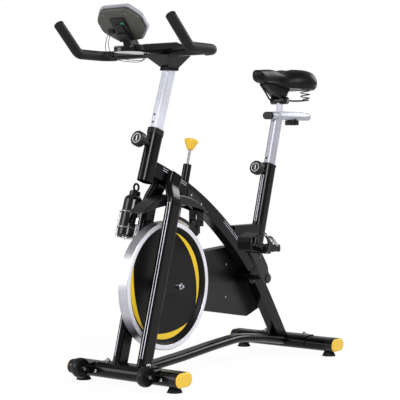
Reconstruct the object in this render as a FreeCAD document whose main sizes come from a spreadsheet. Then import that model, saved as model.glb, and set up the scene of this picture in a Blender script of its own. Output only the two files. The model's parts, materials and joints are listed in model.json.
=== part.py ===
import FreeCAD, Part
import Sketcher
import math
import os

V = FreeCAD.Vector
doc = FreeCAD.newDocument("indoor_spin_bike")

# Driving dimensions in millimetres and degrees: alias, value, what it is.
# X runs forward, Y to the rider's left and Z up. Stations along X are counted
# from the middle between the two stabilisers.
DIMENSIONS = [
    # floor stand
    ("stand_half_length", 487.0, "middle of the stand to the middle of a stabiliser"),
    ("stabiliser_length", 500.0, "a stabiliser with its end caps"),
    ("stabiliser_depth", 86.0, "flat-oval stabiliser, front to back"),
    ("stabiliser_height", 50.0, "flat-oval stabiliser, top to bottom"),
    ("stabiliser_wall", 2.0, "steel wall of a stabiliser"),
    ("end_cap_length", 36.0, "part of an end cap that shows"),
    ("cap_spigot_length", 18.0, "part of an end cap inside the tube"),
    ("foot_height", 20.0, "rubber foot, floor to stabiliser"),
    ("foot_bottom_diameter", 54.0, "rubber foot at the floor"),
    ("foot_top_diameter", 34.0, "rubber foot at the stabiliser"),
    ("foot_offset", 206.0, "middle plane to a rubber foot"),
    ("plate_thickness", 4.0, "saddle plate over a stabiliser"),
    ("plate_length", 236.0, "saddle plate, side to side"),
    ("stand_bolt_offset", 92.0, "middle plane to a carriage bolt"),
    ("stand_bolt_diameter", 8.0, "carriage bolt"),
    ("dome_nut_diameter", 17.0, "dome nut on a carriage bolt"),
    ("wheel_diameter", 70.0, "transport wheel"),
    ("wheel_width", 26.0, "transport wheel"),
    ("wheel_offset", 147.0, "middle plane to a transport wheel"),
    ("wheel_reach", 81.0, "middle of the front stabiliser to the transport wheel axis"),
    ("wheel_level", 57.0, "transport wheel axis above the floor"),
    ("wheel_bolt_diameter", 8.0, "bolt through a transport wheel"),
    ("bracket_wall", 3.5, "ear of a wheel bracket"),
    # frame tubes
    ("base_tube_width", 60.0, "flat-oval base tube, side to side"),
    ("base_tube_height", 30.0, "flat-oval base tube, top to bottom"),
    ("base_tube_rise", 88.0, "middle of the base tube at its hump"),
    ("leg_width", 30.0, "flat-oval fork leg, side to side"),
    ("leg_depth", 66.0, "flat-oval fork leg, front to back"),
    ("leg_offset", 55.0, "middle plane to a fork leg"),
    ("leg_foot_station", 464.0, "fork leg axis at the front saddle plate"),
    ("leg_lean", 16.3, "fork legs lean back"),
    ("leg_bend_level", 632.0, "fork legs start to bend inwards"),
    ("frame_wall", 2.5, "steel wall of the frame tubes"),
    ("beam_width", 40.0, "main beam, side to side"),
    ("beam_depth", 52.0, "main beam, across its curve"),
    ("post_tube_depth", 63.0, "outside of a head or seat tube, front to back"),
    ("post_tube_width", 43.0, "outside of a head or seat tube, side to side"),
    ("head_lean", 19.0, "head tube leans back"),
    ("head_station", 340.0, "head tube axis along X, at its top"),
    ("head_top", 862.0, "top of the head tube above the floor"),
    ("head_tube_length", 172.0, "head tube"),
    ("seat_lean", 16.3, "seat tube leans back"),
    ("seat_station", -367.0, "seat tube axis along X, at its top"),
    ("seat_top", 749.0, "top of the seat tube above the floor"),
    ("seat_tube_length", 425.0, "seat tube before it is cut to the main beam"),
    ("brace_level", 502.0, "middle of the brace above the floor"),
    ("brace_height", 44.0, "brace between main beam and seat tube"),
    # posts
    ("post_depth", 53.0, "flat-oval post, front to back"),
    ("post_width", 33.0, "flat-oval post, side to side"),
    ("post_wall", 2.0, "steel wall of a post"),
    ("post_clearance", 0.35, "post to its bushing"),
    ("hole_pitch", 27.5, "holes of a post"),
    ("hole_diameter", 9.0, "holes of a post"),
    ("handlebar_post_length", 392.0, "handlebar post"),
    ("handlebar_post_top", 1094.0, "top of the handlebar post above the floor"),
    ("seat_post_length", 400.0, "seat post"),
    ("collar_height", 20.0, "rim of a post bushing above its tube"),
    ("bushing_length", 60.0, "part of a post bushing inside its tube"),
    ("head_pin_drop", 42.0, "top of the head tube down to its pin, along the tube"),
    ("seat_pin_drop", 30.0, "top of the seat tube down to its pin, along the tube"),
    ("pin_knob_diameter", 54.0, "knob of a pop-pin"),
    ("pin_knob_length", 34.0, "knob of a pop-pin"),
    ("pin_diameter", 10.0, "shaft of a pop-pin"),
    ("pin_boss_diameter", 21.0, "welded nut of a pop-pin"),
    ("pin_boss_length", 16.0, "welded nut of a pop-pin"),
    ("pin_travel", 10.0, "gap between a pin knob and its welded nut"),
    # flywheel and drive
    ("flywheel_station", 286.0, "flywheel axis along X"),
    ("flywheel_level", 329.6, "flywheel axis above the floor"),
    ("flywheel_diameter", 458.0, "flywheel"),
    ("rim_width", 43.0, "flywheel rim, side to side"),
    ("rim_depth", 18.0, "bright band on the flywheel's face"),
    ("disc_width", 10.0, "web of the flywheel"),
    ("hub_diameter", 62.0, "hub of the flywheel"),
    ("axle_diameter", 12.0, "flywheel axle"),
    ("axle_reach", 84.0, "middle plane to the end of the flywheel axle"),
    ("running_clearance", 0.06, "shaft to hole, on the radius"),
    ("dropout_offset", 61.0, "middle plane to the inside of a dropout plate"),
    ("dropout_thickness", 5.0, "dropout plate"),
    ("belt_offset", 52.0, "middle plane to the middle of the belt"),
    ("belt_width", 10.0, "drive belt"),
    ("belt_thickness", 3.0, "drive belt"),
    ("belt_clearance", 0.3, "belt to pulley"),
    ("small_pulley_diameter", 60.0, "pulley on the flywheel"),
    ("large_pulley_diameter", 200.0, "pulley on the crank axle"),
    ("crank_station", -207.0, "crank axle along X"),
    ("crank_level", 322.0, "crank axle above the floor"),
    ("crank_length", 170.0, "crank axle to pedal axle"),
    ("crank_angle", 43.0, "left crank, forward of straight up"),
    ("crank_offset", 92.0, "middle plane to the inside of a crank"),
    ("crank_thickness", 14.0, "crank arm"),
    ("crank_axle_diameter", 20.0, "crank axle"),
    ("shell_diameter", 48.0, "bottom bracket shell"),
    ("shell_half_length", 34.0, "bottom bracket shell from the middle plane"),
    ("pedal_inner", 113.0, "middle plane to the inside of a pedal"),
    ("pedal_width", 96.0, "pedal, side to side"),
    ("pedal_length", 94.0, "pedal, front to back"),
    ("pedal_height", 24.0, "pedal"),
    ("spindle_diameter", 12.0, "pedal axle"),
    # guard, fender and brake
    ("guard_inner", 36.0, "middle plane to the inside of the belt guard"),
    ("guard_outer", 88.0, "middle plane to the outside of the belt guard"),
    ("guard_wall", 2.5, "wall of the belt guard"),
    ("fender_half_width", 38.0, "middle plane to a side of the fender"),
    ("fender_wall", 2.5, "wall of the fender"),
    ("brake_lean", 15.0, "brake rod leans back"),
    ("brake_station", 155.0, "brake sleeve along X, at its top"),
    ("brake_sleeve_top", 758.0, "top of the brake sleeve above the floor"),
    ("brake_sleeve_length", 150.0, "brake sleeve"),
    ("brake_sleeve_diameter", 31.0, "brake sleeve"),
    ("brake_rod_diameter", 9.0, "brake rod"),
    ("brake_knob_diameter", 51.0, "brake knob at its top"),
    ("brake_knob_height", 40.0, "brake knob"),
    ("brake_push", 2.2, "travel of the brake rod"),
    ("pad_gap", 3.0, "brake pad to the flywheel"),
    ("pad_thickness", 8.0, "felt brake pad"),
    ("brake_arm_thickness", 12.0, "brake arm"),
    # handlebar and console
    ("bar_diameter", 29.0, "handlebar tube"),
    ("bar_station", 313.0, "cross tube of the handlebar along X"),
    ("bar_level", 1149.5, "cross tube of the handlebar above the floor"),
    ("bar_half_width", 250.0, "middle plane to a side tube of the handlebar"),
    ("bar_bend_radius", 42.0, "handlebar tube's bends"),
    ("bar_corner_station", 462.0, "where a side tube turns up, along X"),
    ("horn_length", 137.0, "raised end of the handlebar"),
    ("horn_angle", 44.0, "raised ends above level"),
    ("grip_diameter", 36.0, "foam grip"),
    ("stem_top_level", 1154.0, "top of the stem box above the floor"),
    ("stem_top_length", 140.0, "top of the stem box, front to back"),
    ("stem_top_width", 95.0, "top of the stem box, side to side"),
    ("stem_foot_length", 58.0, "foot of the stem box, front to back"),
    ("stem_foot_width", 38.0, "foot of the stem box, side to side"),
    ("stem_foot_level", 1091.0, "foot of the stem box above the floor"),
    ("tray_half_width", 46.0, "console tray from the middle plane"),
    ("console_station", 512.0, "middle of the console along X"),
    ("console_level", 1238.0, "middle of the console above the floor"),
    ("console_tilt", 48.0, "face of the console above level"),
    ("console_width", 200.0, "console, side to side"),
    ("console_height", 140.0, "console, along its face"),
    ("console_case_depth", 16.0, "front case of the console"),
    ("console_back_depth", 12.0, "back case of the console"),
    ("button_diameter", 22.0, "button of the console"),
    ("button_travel", 1.0, "button of the console"),
    ("lead_diameter", 2.4, "sensor lead"),
    # seat
    ("rail_level", 948.0, "middle of the seat rail above the floor"),
    ("rail_front", -364.0, "front of the seat rail along X"),
    ("rail_rear", -626.0, "rear of the seat rail along X"),
    ("rail_width", 50.0, "seat rail, side to side"),
    ("rail_height", 30.0, "seat rail"),
    ("rail_plug_length", 7.0, "plug in an end of the seat rail"),
    ("carriage_front", -412.0, "front of the saddle carriage along X"),
    ("carriage_rear", -592.0, "rear of the saddle carriage along X"),
    ("carriage_wall", 3.0, "saddle carriage"),
    ("saddle_slide", 35.0, "saddle carriage, each way"),
    ("pillar_station", -441.0, "saddle pillar along X"),
    ("pillar_diameter", 25.0, "saddle pillar"),
    ("clamp_level", 1009.0, "saddle clamp above the floor"),
    ("clamp_diameter", 30.0, "saddle clamp"),
    ("rail_knob_station", -530.0, "knob under the seat rail, along X"),
    ("rail_knob_reach", 62.0, "knob under the seat rail, across its lobes"),
    ("saddle_nose", -268.0, "nose of the saddle along X"),
    ("saddle_tail", -566.0, "tail of the saddle along X"),
    ("saddle_width", 246.0, "saddle at its widest"),
    ("saddle_base", 1058.0, "underside of the saddle above the floor"),
    ("saddle_top", 1134.0, "top of the saddle above the floor"),
    ("saddle_wire", 7.0, "rail wire under the saddle"),
    # bottle
    ("bottle_diameter", 66.0, "water bottle"),
    ("bottle_length", 152.0, "water bottle without its cap"),
    ("bottle_lean", 19.0, "bottle and cage lean back"),
    ("bottle_gap", 0.6, "water bottle to its cage"),
    ("cage_wire", 5.0, "wire of the bottle cage"),
    # shared
    ("seat_gap", 0.3, "clear space between pieces that move past each other"),
]

sheet = doc.addObject("Spreadsheet::Sheet", "Sizes")
for row, (alias, number, meaning) in enumerate(DIMENSIONS, 1):
    sheet.set("A%d" % row, alias)
    sheet.set("B%d" % row, str(number))
    sheet.set("C%d" % row, meaning)
    sheet.setAlias("B%d" % row, alias)
doc.recompute()


def size(alias):
    """A driving dimension, read from the sheet."""
    return float(sheet.get(alias))


# ---------------------------------------------------------------- placement

# The part's origin is on the floor, half way between the rail's rear plug and
# the front of the transport wheels.
wheel_station = size("stand_half_length") + size("wheel_reach")
front_reach = wheel_station + size("wheel_diameter") / 2
rear_reach = size("rail_rear") - size("rail_plug_length")
origin_shift = -(front_reach + rear_reach) / 2

LEVEL = FreeCAD.Rotation()
SIDEWAYS = FreeCAD.Rotation(V(1, 0, 0), 90)      # local Z along -Y, local Y up


def at(x, y, z, rotation=LEVEL):
    """Placement of a piece at a station of the bike."""
    return FreeCAD.Placement(V(x + origin_shift, y, z), rotation)


def leaning(angle):
    """Local Z leans back from straight up by angle, local X stays forward."""
    return FreeCAD.Rotation(V(0, 1, 0), -angle)


def spot(x, y, z):
    """A point at a station of the bike."""
    return V(x + origin_shift, y, z)


def along(angle):
    """Unit vector that leans back from straight up by angle."""
    return V(-math.sin(math.radians(angle)), 0, math.cos(math.radians(angle)))


def across(angle):
    """Unit vector square to along(angle), pointing forward."""
    return V(math.cos(math.radians(angle)), 0, math.sin(math.radians(angle)))


# ------------------------------------------------------------ feature helpers

exported = []
built = {}


def keep(node, name):
    """Give a finished sub-part its label and list it for export."""
    node.Label = name
    exported.append(node)
    return node


def new_body(name):
    body = doc.addObject("PartDesign::Body", name)
    return keep(body, name)


def new_sketch(body, role, offset=0.0):
    """An empty sketch on one of the body's own origin planes."""
    plane = [f for f in body.Origin.OriginFeatures if f.Role == role + "_Plane"][0]
    sketch = body.newObject("Sketcher::SketchObject", body.Name + "_profile")
    sketch.AttachmentSupport = [(plane, "")]
    sketch.MapMode = "FlatFace"
    sketch.AttachmentOffset = FreeCAD.Placement(V(0, 0, offset), LEVEL)
    return sketch


def draw_oval(sketch, length, height):
    """A flat oval about the sketch's origin, bound to two expressions."""
    first = sketch.GeometryCount
    wide, high = number(length), number(height)
    radius, half = high / 2, (wide - high) / 2
    up, out = V(0, 0, 1), math.pi / 2
    arcs = [(half, -out, out), (-half, out, 3 * out)]
    for middle, start, end in arcs:
        sketch.addGeometry(Part.ArcOfCircle(Part.Circle(V(middle, 0, 0), up, radius), start, end))
    sketch.addGeometry(Part.LineSegment(V(half, radius, 0), V(-half, radius, 0)))
    sketch.addGeometry(Part.LineSegment(V(-half, -radius, 0), V(half, -radius, 0)))
    right, left, top, bottom = range(first, first + 4)
    for one, end_one, two, end_two in ((right, 2, top, 1), (top, 2, left, 1),
                                       (left, 2, bottom, 1), (bottom, 2, right, 1)):
        sketch.addConstraint(Sketcher.Constraint("Tangent", one, end_one, two, end_two))
    sketch.addConstraint(Sketcher.Constraint("Equal", right, left))
    sketch.addConstraint(Sketcher.Constraint("Horizontal", top))
    sketch.addConstraint(Sketcher.Constraint("Symmetric", right, 3, left, 3, -1, 1))
    place = sketch.addConstraint(Sketcher.Constraint("Radius", right, radius))
    sketch.setExpression("Constraints[%d]" % place, "(%s) / 2" % height)
    place = sketch.addConstraint(Sketcher.Constraint("DistanceX", left, 3, right, 3, 2 * half))
    sketch.setExpression("Constraints[%d]" % place, "(%s) - (%s)" % (length, height))


def draw_circle(sketch, diameter, x=0.0, y=0.0):
    """A circle bound to an expression for its diameter."""
    place = sketch.addGeometry(Part.Circle(V(x, y, 0), V(0, 0, 1), number(diameter) / 2))
    rule = sketch.addConstraint(Sketcher.Constraint("Radius", place, number(diameter) / 2))
    sketch.setExpression("Constraints[%d]" % rule, "(%s) / 2" % diameter)


def draw_outline(sketch, points):
    """A closed outline: a point, or (through, end) for an arc to its end."""
    start = points[0]
    last = start
    for step in list(points[1:]) + [start]:
        if isinstance(step[0], tuple):
            through, end = step
            sketch.addGeometry(Part.Arc(V(*last, 0), V(*through, 0), V(*end, 0)))
            last = end
        else:
            if step != last:
                sketch.addGeometry(Part.LineSegment(V(*last, 0), V(*step, 0)))
            last = step


def number(expression):
    """Value of an expression in the sheet's aliases."""
    return float(sheet.evalExpression(expression))


def pad(body, sketch, length, symmetric=False, name="pad"):
    feature = body.newObject("PartDesign::Pad", body.Name + "_" + name)
    feature.Profile = sketch
    feature.setExpression("Length", length)
    if symmetric:
        feature.SideType = "Symmetric"
    body.Tip = feature
    return feature


def pocket(body, sketch, length, symmetric=False, reverse=False, name="pocket"):
    feature = body.newObject("PartDesign::Pocket", body.Name + "_" + name)
    feature.Profile = sketch
    feature.setExpression("Length", length)
    feature.Reversed = reverse
    if symmetric:
        feature.SideType = "Symmetric"
    body.Tip = feature
    return feature


def revolve(body, sketch):
    """Turn a sketch fully round its own vertical axis."""
    feature = body.newObject("PartDesign::Revolution", body.Name + "_turn")
    feature.Profile = sketch
    feature.ReferenceAxis = (sketch, ["V_Axis"])
    feature.Angle = 360
    body.Tip = feature
    return feature


def cylinder(name, radius, height, place):
    """A Part cylinder bound to the sheet."""
    solid = doc.addObject("Part::Cylinder", name)
    solid.setExpression("Radius", radius)
    solid.setExpression("Height", height)
    solid.Placement = place
    return solid


def box(name, length, width, height, place):
    """A Part box bound to the sheet, standing on its placement's corner."""
    solid = doc.addObject("Part::Box", name)
    solid.setExpression("Length", length)
    solid.setExpression("Width", width)
    solid.setExpression("Height", height)
    solid.Placement = place
    return solid


def group(name, solids):
    """Several separate solids as one sub-part."""
    node = doc.addObject("Part::Compound", name)
    node.Links = solids
    return keep(node, name)


def cut(name, base, tool, last=True):
    node = doc.addObject("Part::Cut", name)
    node.Base = base
    node.Tool = tool
    return keep(node, name) if last else node


def fuse(name, solids, last=True):
    node = doc.addObject("Part::MultiFuse", name)
    node.Shapes = solids
    return keep(node, name) if last else node


def shape_node(name, shape):
    """A sub-part whose shape is worked out with Part's own functions."""
    node = doc.addObject("Part::Feature", name)
    node.Shape = shape
    built[name] = shape
    return keep(node, name)


# --------------------------------------------------------------- Part helpers

def oval_wire(length, height):
    """Flat-oval wire in the XY plane, its length along X."""
    radius, half = height / 2, (length - height) / 2
    a, b = V(half, radius, 0), V(-half, radius, 0)
    c, d = V(-half, -radius, 0), V(half, -radius, 0)
    edges = [Part.LineSegment(a, b), Part.Arc(b, V(-half - radius, 0, 0), c),
             Part.LineSegment(c, d), Part.Arc(d, V(half + radius, 0, 0), a)]
    return Part.Wire([edge.toShape() for edge in edges])


def oval_bar(length, height, reach, place=None):
    """Solid flat-oval bar along its local Z."""
    solid = Part.Face(oval_wire(length, height)).extrude(V(0, 0, reach))
    if place:
        solid.Placement = place
    return solid


def bent_path(points, radii):
    """Straight runs joined by tangent arcs, one radius for each inner point."""
    edges = []
    last = points[0]
    for before, corner, after, radius in zip(points, points[1:], points[2:], radii):
        into = (corner - before).normalize()
        out = (after - corner).normalize()
        half_turn = into.getAngle(out) / 2
        tangent = radius * math.tan(half_turn)
        start, end = corner - into * tangent, corner + out * tangent
        middle = corner + (out - into).normalize() * (radius / math.cos(half_turn) - radius)
        if (start - last).Length > 1e-4:
            edges.append(Part.LineSegment(last, start).toShape())
        edges.append(Part.Arc(start, middle, end).toShape())
        last = end
    if (points[-1] - last).Length > 1e-4:
        edges.append(Part.LineSegment(last, points[-1]).toShape())
    return Part.Wire(edges)


def sweep(path, profile):
    """Solid of a profile carried along a path; the profile stands at its start."""
    return path.makePipeShell([profile], True, False)


def placed_wire(wire, origin, normal, side):
    """Turn a wire in XY so that its Z is the normal and its X the side."""
    z = V(normal).normalize()
    x = (side - z * side.dot(z)).normalize()
    y = z.cross(x)
    matrix = FreeCAD.Matrix(x.x, y.x, z.x, origin.x, x.y, y.y, z.y, origin.y,
                            x.z, y.z, z.z, origin.z, 0, 0, 0, 1)
    copy = wire.copy()
    copy.Placement = FreeCAD.Placement(matrix)
    return copy


def round_tube(points, radii, diameter, wall=0.0):
    """Round bar or tube along runs and arcs."""
    path = bent_path(points, radii)
    heading = points[1] - points[0]
    outer = sweep(path, Part.Wire([Part.makeCircle(diameter / 2, points[0], heading)]))
    if wall:
        inner = sweep(path, Part.Wire([Part.makeCircle(diameter / 2 - wall, points[0], heading)]))
        return outer.cut(inner)
    return outer


def oval_tube(points, radii, length, height, side, wall=0.0):
    """Flat-oval tube along runs and arcs; its length lies along side."""
    path = bent_path(points, radii)
    heading = points[1] - points[0]
    outer = sweep(path, placed_wire(oval_wire(length, height), points[0], heading, side))
    if wall:
        bore = oval_wire(length - 2 * wall, height - 2 * wall)
        return outer, outer.cut(sweep(path, placed_wire(bore, points[0], heading, side)))
    return outer, outer


def turned(profile, place):
    """Solid of revolution of an (r, z) profile about its local Z."""
    points = [V(r, 0, z) for r, z in profile]
    face = Part.Face(Part.makePolygon(points + [points[0]]))
    solid = face.revolve(V(0, 0, 0), V(0, 0, 1), 360)
    solid.Placement = place
    return solid


def mirrored(shape):
    """The same shape on the other side of the middle plane."""
    return shape.mirror(V(0, 0, 0), V(0, 1, 0))


def drilled(shape, origin, heading, diameter, depth):
    return shape.cut(Part.makeCylinder(diameter / 2, depth, origin, heading))


# ----------------------------------------------------------------- floor stand

def stabiliser_level():
    return size("foot_height") + size("stabiliser_height") / 2


def make_stabiliser(name, side):
    """Hollow flat-oval tube across the bike, open at its ends for the caps."""
    body = new_body(name)
    sketch = new_sketch(body, "XZ")
    draw_oval(sketch, "Sizes.stabiliser_depth", "Sizes.stabiliser_height")
    draw_oval(sketch, "Sizes.stabiliser_depth - 2 * Sizes.stabiliser_wall",
              "Sizes.stabiliser_height - 2 * Sizes.stabiliser_wall")
    pad(body, sketch, "Sizes.stabiliser_length - 2 * Sizes.end_cap_length", symmetric=True)
    body.Placement = at(side * size("stand_half_length"), 0, stabiliser_level())


def make_end_caps():
    """Four moulded caps: a crowned end that shows and a spigot in the tube."""
    length, depth = size("end_cap_length"), size("stabiliser_depth")
    height, gap = size("stabiliser_height"), size("seat_gap")
    wall = size("stabiliser_wall") + gap
    head = oval_bar(depth, height, length)
    rim = [edge for edge in head.Edges if edge.CenterOfMass.z > length - 0.01]
    head = head.makeFillet(7.0, rim)
    spigot = oval_bar(depth - 2 * wall, height - 2 * wall, size("cap_spigot_length"))
    spigot.translate(V(0, 0, -size("cap_spigot_length")))
    cap = head.fuse(spigot).removeSplitter()
    inside = size("stabiliser_length") / 2 - length
    caps = []
    for end in (-1, 1):
        for side in (-1, 1):
            copy = cap.copy()
            copy.Placement = at(end * size("stand_half_length"), side * inside,
                                stabiliser_level(), FreeCAD.Rotation(V(1, 0, 0), -90 * side))
            caps.append(copy)
    shape_node("end_caps", Part.makeCompound(caps))


def make_rubber_feet():
    """Four conical rubber feet, the faces that the bike stands on."""
    feet = []
    for end in (-1, 1):
        for side in (-1, 1):
            foot = doc.addObject("Part::Cone", "foot")
            foot.setExpression("Radius1", "Sizes.foot_bottom_diameter / 2")
            foot.setExpression("Radius2", "Sizes.foot_top_diameter / 2")
            foot.setExpression("Height", "Sizes.foot_height")
            foot.Placement = at(end * size("stand_half_length"), side * size("foot_offset"), 0)
            feet.append(foot)
    group("rubber_feet", feet)


def saddle_shell(end):
    """Steel plate bent over a stabiliser, from its inner side to its crown."""
    wall, reach = size("plate_thickness"), size("plate_length")
    depth, height = size("stabiliser_depth"), size("stabiliser_height")
    outer = oval_bar(depth + 2 * wall, height + 2 * wall, reach)
    inner = oval_bar(depth, height, reach)
    shell = outer.cut(inner)
    shell.Placement = at(end * size("stand_half_length"), reach / 2, stabiliser_level(), SIDEWAYS)
    crown = Part.makeBox(depth * 2, reach, height, V(-depth, 0, 0))
    crown.Placement = at(end * size("stand_half_length"), -reach / 2, stabiliser_level() - 8)
    front = Part.makeBox(depth, reach * 2, height * 2)
    edge = end * (size("stand_half_length") + depth * 0.32)
    front.Placement = at(edge - (0 if end > 0 else depth), -reach, 0)
    return shell.common(crown).cut(front)


def stabiliser_solid(end, skin=0.0):
    """Filled outline of a stabiliser, to fit other pieces against."""
    solid = oval_bar(size("stabiliser_depth") + 2 * skin, size("stabiliser_height") + 2 * skin,
                     size("stabiliser_length"))
    solid.Placement = at(end * size("stand_half_length"), size("stabiliser_length") / 2,
                         stabiliser_level(), SIDEWAYS)
    return solid


def make_base_rail():
    """Arched flat-oval tube, welded at both ends to a saddle plate."""
    reach, wall = size("stand_half_length"), size("plate_thickness")
    rise = size("base_tube_rise")
    level = stabiliser_level()
    inset = size("stabiliser_depth") / 2 - 12
    points = [spot(reach - inset, 0, level + 1), spot(reach * 0.41, 0, level + 0.42 * (rise - level)),
              spot(reach * 0.041, 0, rise - 8), spot(-reach * 0.308, 0, rise + 4),
              spot(-reach * 0.616, 0, rise - 14), spot(-reach + inset, 0, level + 2)]
    outer, tube = oval_tube(points, [1500, 900, 500, 600], size("base_tube_width"),
                            size("base_tube_height"), V(0, 1, 0), size("frame_wall"))
    plates = [saddle_shell(1), saddle_shell(-1)]
    for end in (1, -1):
        tube = tube.cut(stabiliser_solid(end, wall - 0.01))
    return shape_node("base_rail", tube.fuse(plates).removeSplitter()), outer


def make_stand_fasteners():
    """Carriage bolts with dome nuts, and the bolts that carry the wheels."""
    solids = []
    top = stabiliser_level() + size("stabiliser_height") / 2 + size("plate_thickness")
    shank = size("stand_bolt_diameter") / 2
    nut = size("dome_nut_diameter") / 2
    for end in (-1, 1):
        for side in (-1, 1):
            dome = turned([(0, 0), (nut + 2, 0), (nut + 2, 1.2), (nut, 1.2), (nut, 6),
                           (nut * 0.8, 9), (nut * 0.4, 11.4), (0, 12)],
                          at(end * size("stand_half_length"), side * size("stand_bolt_offset"), top))
            solids.append(dome)
    ear = size("wheel_width") / 2 + 1 + size("bracket_wall")
    shank = size("wheel_bolt_diameter") / 2
    for side in (-1, 1):
        bolt = turned([(0, -ear - 5), (shank + 3, -ear - 5), (shank + 3, -ear), (shank, -ear),
                       (shank, ear), (shank + 3, ear), (shank + 3, ear + 4), (0, ear + 5)],
                      at(wheel_station, side * size("wheel_offset"), size("wheel_level"),
                         FreeCAD.Rotation(V(1, 0, 0), -90)))
        solids.append(bolt)
    shape_node("stand_fasteners", Part.makeCompound(solids))


def make_wheel_brackets():
    """Two moulded forks on the front stabiliser, one for each transport wheel."""
    ear_gap = size("wheel_width") / 2 + 1
    wall = size("bracket_wall")
    half = ear_gap + wall
    front = size("stand_half_length")
    station, level = wheel_station, size("wheel_level")
    brackets = []
    for side in (-1, 1):
        middle = side * size("wheel_offset")
        outline = [(front + 20, level + 16), (station - 4, level + 13),
                   ((station + 9.2, level + 9.2), (station + 13, level)),
                   ((station + 9.2, level - 9.2), (station, level - 13)), (front + 20, level - 28)]
        points = []
        last = None
        edges = []
        for step in outline + [outline[0]]:
            if isinstance(step[0], tuple):
                edges.append(Part.Arc(spot(last[0], middle + half, last[1]),
                                      spot(step[0][0], middle + half, step[0][1]),
                                      spot(step[1][0], middle + half, step[1][1])).toShape())
                last = step[1]
            else:
                if last:
                    edges.append(Part.LineSegment(spot(last[0], middle + half, last[1]),
                                                  spot(step[0], middle + half, step[1])).toShape())
                last = step
        block = Part.Face(Part.Wire(edges)).extrude(V(0, -2 * half, 0))
        slot = Part.makeCylinder(size("wheel_diameter") / 2 + 2, 2 * ear_gap,
                                 spot(station, middle - ear_gap, level), V(0, 1, 0))
        window = Part.makeBox(60, 2 * ear_gap, 90, spot(station, middle - ear_gap, level - 45))
        hole = Part.makeCylinder(size("wheel_bolt_diameter") / 2, 2 * half,
                                 spot(station, middle - half, level), V(0, 1, 0))
        brackets.append(block.cut([slot, window, hole, stabiliser_solid(1)]))
    shape_node("wheel_brackets", Part.makeCompound(brackets))


def make_transport_wheel(name, side):
    """Small solid tyre with dished faces, running on its bolt."""
    body = new_body(name)
    sketch = new_sketch(body, "XZ")
    half, radius = size("wheel_width") / 2, size("wheel_diameter") / 2
    bore = size("wheel_bolt_diameter") / 2 + size("running_clearance")
    draw_outline(sketch, [(bore, -half), (bore + 6, -half), (bore + 8, -half + 4),
                          (radius - 9, -half + 4), (radius - 7, -half), (radius - 3, -half),
                          ((radius, 0), (radius - 3, half)), (radius - 7, half),
                          (radius - 9, half - 4), (bore + 8, half - 4), (bore + 6, half),
                          (bore, half)])
    revolve(body, sketch)
    body.Placement = at(wheel_station, side * size("wheel_offset"), size("wheel_level"),
                        SIDEWAYS)


# ----------------------------------------------------------------- frame tubes

BEAM_TOP = [(362, 771), (-65, 541), (-367, 219)]     # upper edge of the main beam


def beam_solid(width, inset=0.0):
    """Curved box beam between two concentric arcs, run straight to the rear."""
    ends = [V(x, 0, z) for x, z in BEAM_TOP]
    circle = Part.Arc(*ends).toShape().Curve
    centre, radius = circle.Center, circle.Radius
    depth = size("beam_depth")
    rear = (ends[2] - centre).normalize()
    front = (ends[0] - centre).normalize()
    middle = (ends[1] - centre).normalize()
    tail = V(rear.z, 0, -rear.x)
    tail = tail if tail.z < 0 else tail * -1
    nose = V(front.z, 0, -front.x)
    nose = nose if nose.x > 0 else nose * -1
    high, low = radius - inset, radius - depth + inset
    run, start = 190.0 - inset, 30.0 - inset
    upper = [centre + d * high for d in (front, middle, rear)]
    lower = [centre + d * low for d in (front, middle, rear)]
    edges = [Part.LineSegment(upper[0] + nose * start, upper[0]), Part.Arc(*upper),
             Part.LineSegment(upper[2], upper[2] + tail * run),
             Part.LineSegment(upper[2] + tail * run, lower[2] + tail * run),
             Part.LineSegment(lower[2] + tail * run, lower[2]), Part.Arc(*lower[::-1]),
             Part.LineSegment(lower[0], lower[0] + nose * start),
             Part.LineSegment(lower[0] + nose * start, upper[0] + nose * start)]
    face = Part.Face(Part.Wire([edge.toShape() for edge in edges]))
    solid = face.extrude(V(0, width, 0))
    solid.translate(V(origin_shift, -width / 2, 0))
    return solid


def tube_axis(lean, station, top, drop):
    """Point on a leaning tube's axis, a distance down from its top."""
    down = along(lean) * -drop
    return spot(station + down.x, 0, top + down.z)


def post_tube_solid(lean, station, top, length, inset=0.0):
    """Filled flat-oval head or seat tube, its axis leaning back."""
    foot = tube_axis(lean, station, top, length)
    return oval_bar(size("post_tube_depth") - 2 * inset, size("post_tube_width") - 2 * inset,
                    length, FreeCAD.Placement(foot, leaning(lean)))


def head_tube_solid(inset=0.0, extra=0.0):
    return post_tube_solid(size("head_lean"), size("head_station"), size("head_top"),
                           size("head_tube_length") + extra, inset)


def seat_tube_solid(inset=0.0):
    return post_tube_solid(size("seat_lean"), size("seat_station"), size("seat_top"),
                           size("seat_tube_length"), inset)


def pin_frame(lean, station, top, drop):
    """Placement of a pop-pin: its Z points out of the tube's front."""
    centre = tube_axis(lean, station, top, drop)
    outward = across(lean)
    return FreeCAD.Placement(centre, FreeCAD.Rotation(V(0, 0, 1), outward))


def with_pin_boss(tube, place):
    """Weld a nut on the tube's front and drill it for the pin."""
    skin = size("post_tube_depth") / 2
    boss = Part.makeCylinder(size("pin_boss_diameter") / 2, size("pin_boss_length") + 8,
                             V(0, 0, skin - 8))
    boss.Placement = place
    bore = Part.makeCylinder(size("pin_diameter") / 2 + size("running_clearance"), skin * 2,
                             V(0, 0, size("post_depth") / 2 - 4))
    bore.Placement = place
    return tube.fuse(boss).cut(bore)


def head_pin_place():
    return pin_frame(size("head_lean"), size("head_station"), size("head_top"),
                     size("head_pin_drop"))


def seat_pin_place():
    return pin_frame(size("seat_lean"), size("seat_station"), size("seat_top"),
                     size("seat_pin_drop"))


def make_head_tube():
    solid = head_tube_solid()
    bore = head_tube_solid(size("frame_wall"), 2.0)
    bore.translate(along(size("head_lean")) * 1.0)
    tube = with_pin_boss(solid, head_pin_place()).cut(bore)
    shape_node("head_tube", tube)


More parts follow.
